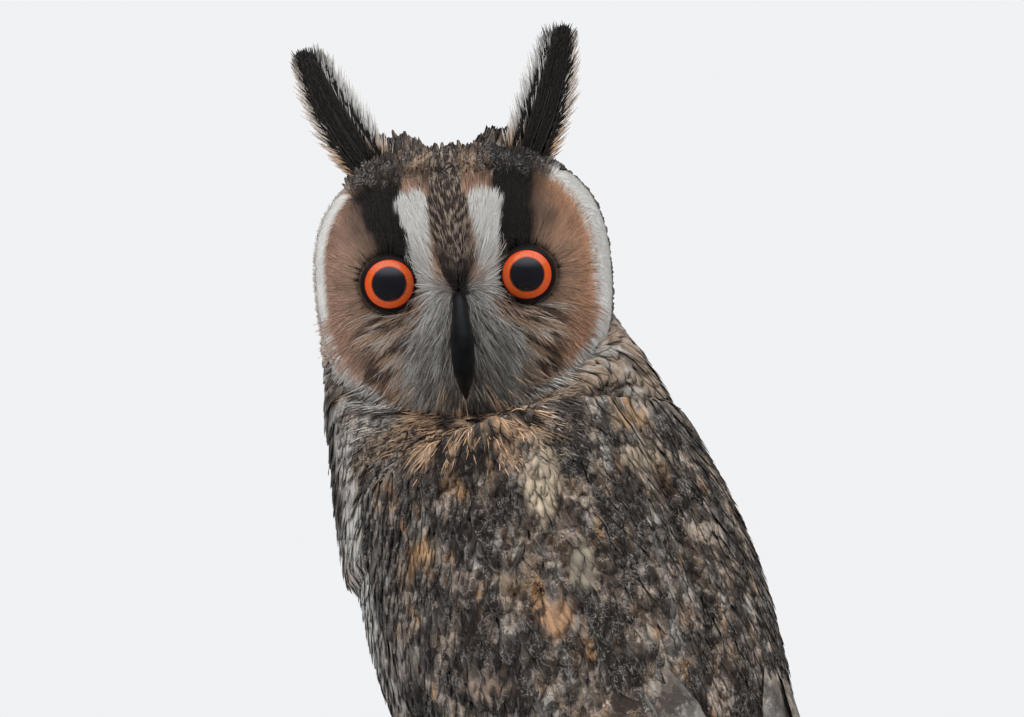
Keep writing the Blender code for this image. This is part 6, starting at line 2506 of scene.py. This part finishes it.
class OWL_OT_stand(bpy.types.Operator):
    """Makes the turned base and its two rods"""

    bl_idname = "owl.stand"
    bl_label = "Stand"

    def execute(self, context):
        base = turned(rounded_disc(BASE_RADIUS, BASE_THICKNESS, 4 * MM))
        dress(mesh_object("turned_base", *base), look("walnut"), ("stand_base",))
        for _, name in SIDES:
            node = "stand_rod_" + name
            low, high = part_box(node)
            points, quads, triangles = turned(
                rounded_disc((high.x - low.x) / 2, high.z - low.z, 0.3 * MM, low.z), 48
            )
            points = points + np.array(((low.x + high.x) / 2, (low.y + high.y) / 2, 0))
            dress(
                mesh_object("steel_rod_" + name, points, quads, triangles), look("steel"),
                (node,),
            )
        return {"FINISHED"}


class OWL_OT_stage(bpy.types.Operator):
    """Sets the pale floor, the soft light and the camera"""

    bl_idname = "owl.stage"
    bl_label = "Stage"

    def execute(self, context):
        scene, settings = context.scene, context.scene.owl_stage
        backdrop = colour4(settings.backdrop)
        self.floor(backdrop)
        self.world(scene, backdrop)
        right, up, ahead = view_axes(settings.azimuth, settings.elevation)
        for name, place, size, power in (
            ("sky_left", EYES_MIDDLE - right * 1.0 - ahead * 0.9 + up * 1.3, 1.3, 26),
            ("sky_right", EYES_MIDDLE + right * 1.2 - ahead * 0.7 + up * 1.2, 1.3, 20),
            ("sky_behind", EYES_MIDDLE + ahead * 1.3 + up * 1.4, 1.8, 26),
        ):
            light = bpy.data.lights.new(name, "AREA")
            light.shape = "DISK"
            light.size = size
            light.energy = power * settings.light
            obj = bpy.data.objects.new(name, light)
            obj.visible_glossy = False
            z = unit(place - EYES_MIDDLE)
            x = unit(np.cross((0, 0, 1.0), z))
            obj.matrix_world = placed(x, np.cross(z, x), z, place)
            scene.collection.objects.link(obj)
        camera = bpy.data.cameras.new("camera")
        camera.sensor_width = SENSOR_WIDTH
        camera.lens = SENSOR_WIDTH * settings.distance / settings.width
        camera.clip_start, camera.clip_end = 0.05, 50
        obj = bpy.data.objects.new("camera", camera)
        target = EYES_MIDDLE + right * MIDDLE_RIGHT * MM - up * MIDDLE_DOWN * MM
        obj.matrix_world = placed(right, up, -ahead, target - ahead * settings.distance)
        scene.collection.objects.link(obj)
        scene.camera = obj
        scene.view_settings.view_transform = "Standard"
        return {"FINISHED"}

    def floor(self, backdrop):
        """A pale matt disc that fades into the backdrop, so that the camera sees no horizon."""
        rows = ((0.0005, -0.0206), (3.0, -0.0206), (3.0, -0.0006), (0.0005, -0.0006))
        floor = mesh_object("floor", *turned(rows, 96), smooth=False)
        material, tree, shader = new_material("painted_studio_floor", Roughness=0.9)
        place = add(tree, PLACE).outputs["Object"]
        mottle = add(tree, NOISE, place, 3.0)
        pale, paler = tone("#E6E6E8"), tone("#F0F0F1")
        colour = add(tree, MIX, mottle, pale, paler, data_type="RGBA")
        feed(tree, shader, Base_Color=colour)
        far = add(tree, VECTOR, place, operation="LENGTH")
        share = add(tree, STEP, far, 0.3, 1.0, interpolation_type=EASE)
        share = add(tree, MATHS, share, add(tree, "ShaderNodeLightPath"), operation="MULTIPLY")
        glow = add(tree, "ShaderNodeEmission", backdrop, 1.0)
        fade = add(tree, "ShaderNodeMixShader", share, shader, glow)
        feed(tree, tree.nodes["Material Output"], Surface=fade)
        floor.data.materials.append(material)
        floor.visible_glossy = False

    def world(self, scene, backdrop):
        """A soft overcast sky, with an even backdrop for the camera and its own reflections."""
        world = bpy.data.worlds.new("studio")
        scene.world = world
        world.use_nodes = True
        tree = world.node_tree
        way = add(tree, PLACE).outputs["Generated"]
        height = add(tree, "ShaderNodeSeparateXYZ", way).outputs[2]
        high = add(tree, STEP, height, -0.1, 0.8, interpolation_type=EASE)
        sky = add(
            tree, MIX, high, (0.30, 0.31, 0.33, 1.0), (0.95, 0.97, 1.0, 1.0), data_type="RGBA"
        )
        gloss = add(tree, STEP, height, 0.35, 0.95, interpolation_type=EASE)
        shine = add(
            tree, MIX, gloss, (0.07, 0.07, 0.08, 1.0), (1.15, 1.2, 1.3, 1.0), data_type="RGBA"
        )
        rays = add(tree, "ShaderNodeLightPath").outputs
        colour = add(tree, MIX, rays["Is Glossy Ray"], sky, shine, data_type="RGBA")
        colour = add(tree, MIX, rays["Is Camera Ray"], colour, backdrop, data_type="RGBA")
        feed(tree, tree.nodes["Background"], Color=colour)


class OWL_PT_panel(bpy.types.Panel):
    """Lists the owl's pieces in the order in which they are made"""

    bl_label = "Owl"
    bl_idname = "OWL_PT_panel"
    bl_space_type = "VIEW_3D"
    bl_region_type = "UI"
    bl_category = "Owl"

    def draw(self, context):
        for kind in OPERATORS:
            self.layout.operator(kind.bl_idname)
        for settings in (
            context.scene.owl_colours, context.scene.owl_coat, context.scene.owl_stage
        ):
            for name in settings.__annotations__:
                self.layout.prop(settings, name)


OPERATORS = (
    OWL_OT_skin, OWL_OT_face, OWL_OT_ruff, OWL_OT_body_coat, OWL_OT_wings, OWL_OT_tail,
    OWL_OT_ear_tufts,
    OWL_OT_eyes, OWL_OT_bill, OWL_OT_claws, OWL_OT_perch, OWL_OT_lichen, OWL_OT_stand, OWL_OT_stage,
)
SETTINGS = {"owl_colours": OwlColours, "owl_coat": OwlCoat, "owl_stage": OwlStage}


def register():
    for kind in (*SETTINGS.values(), *OPERATORS, OWL_PT_panel):
        bpy.utils.register_class(kind)
    for name, kind in SETTINGS.items():
        setattr(bpy.types.Scene, name, PointerProperty(type=kind))


def unregister():
    for name in SETTINGS:
        delattr(bpy.types.Scene, name)
    for kind in (*SETTINGS.values(), *OPERATORS, OWL_PT_panel):
        bpy.utils.unregister_class(kind)


def main():
    register()
    bpy.ops.owl.skin()
    bpy.ops.owl.face()
    bpy.ops.owl.ruff()
    bpy.ops.owl.body_coat()
    bpy.ops.owl.wings()
    bpy.ops.owl.tail()
    bpy.ops.owl.ear_tufts()
    bpy.ops.owl.eyes()
    bpy.ops.owl.bill()
    bpy.ops.owl.claws()
    bpy.ops.owl.perch()
    bpy.ops.owl.lichen()
    bpy.ops.owl.stand()
    bpy.ops.owl.stage()


if __name__ == "__main__":
    main()
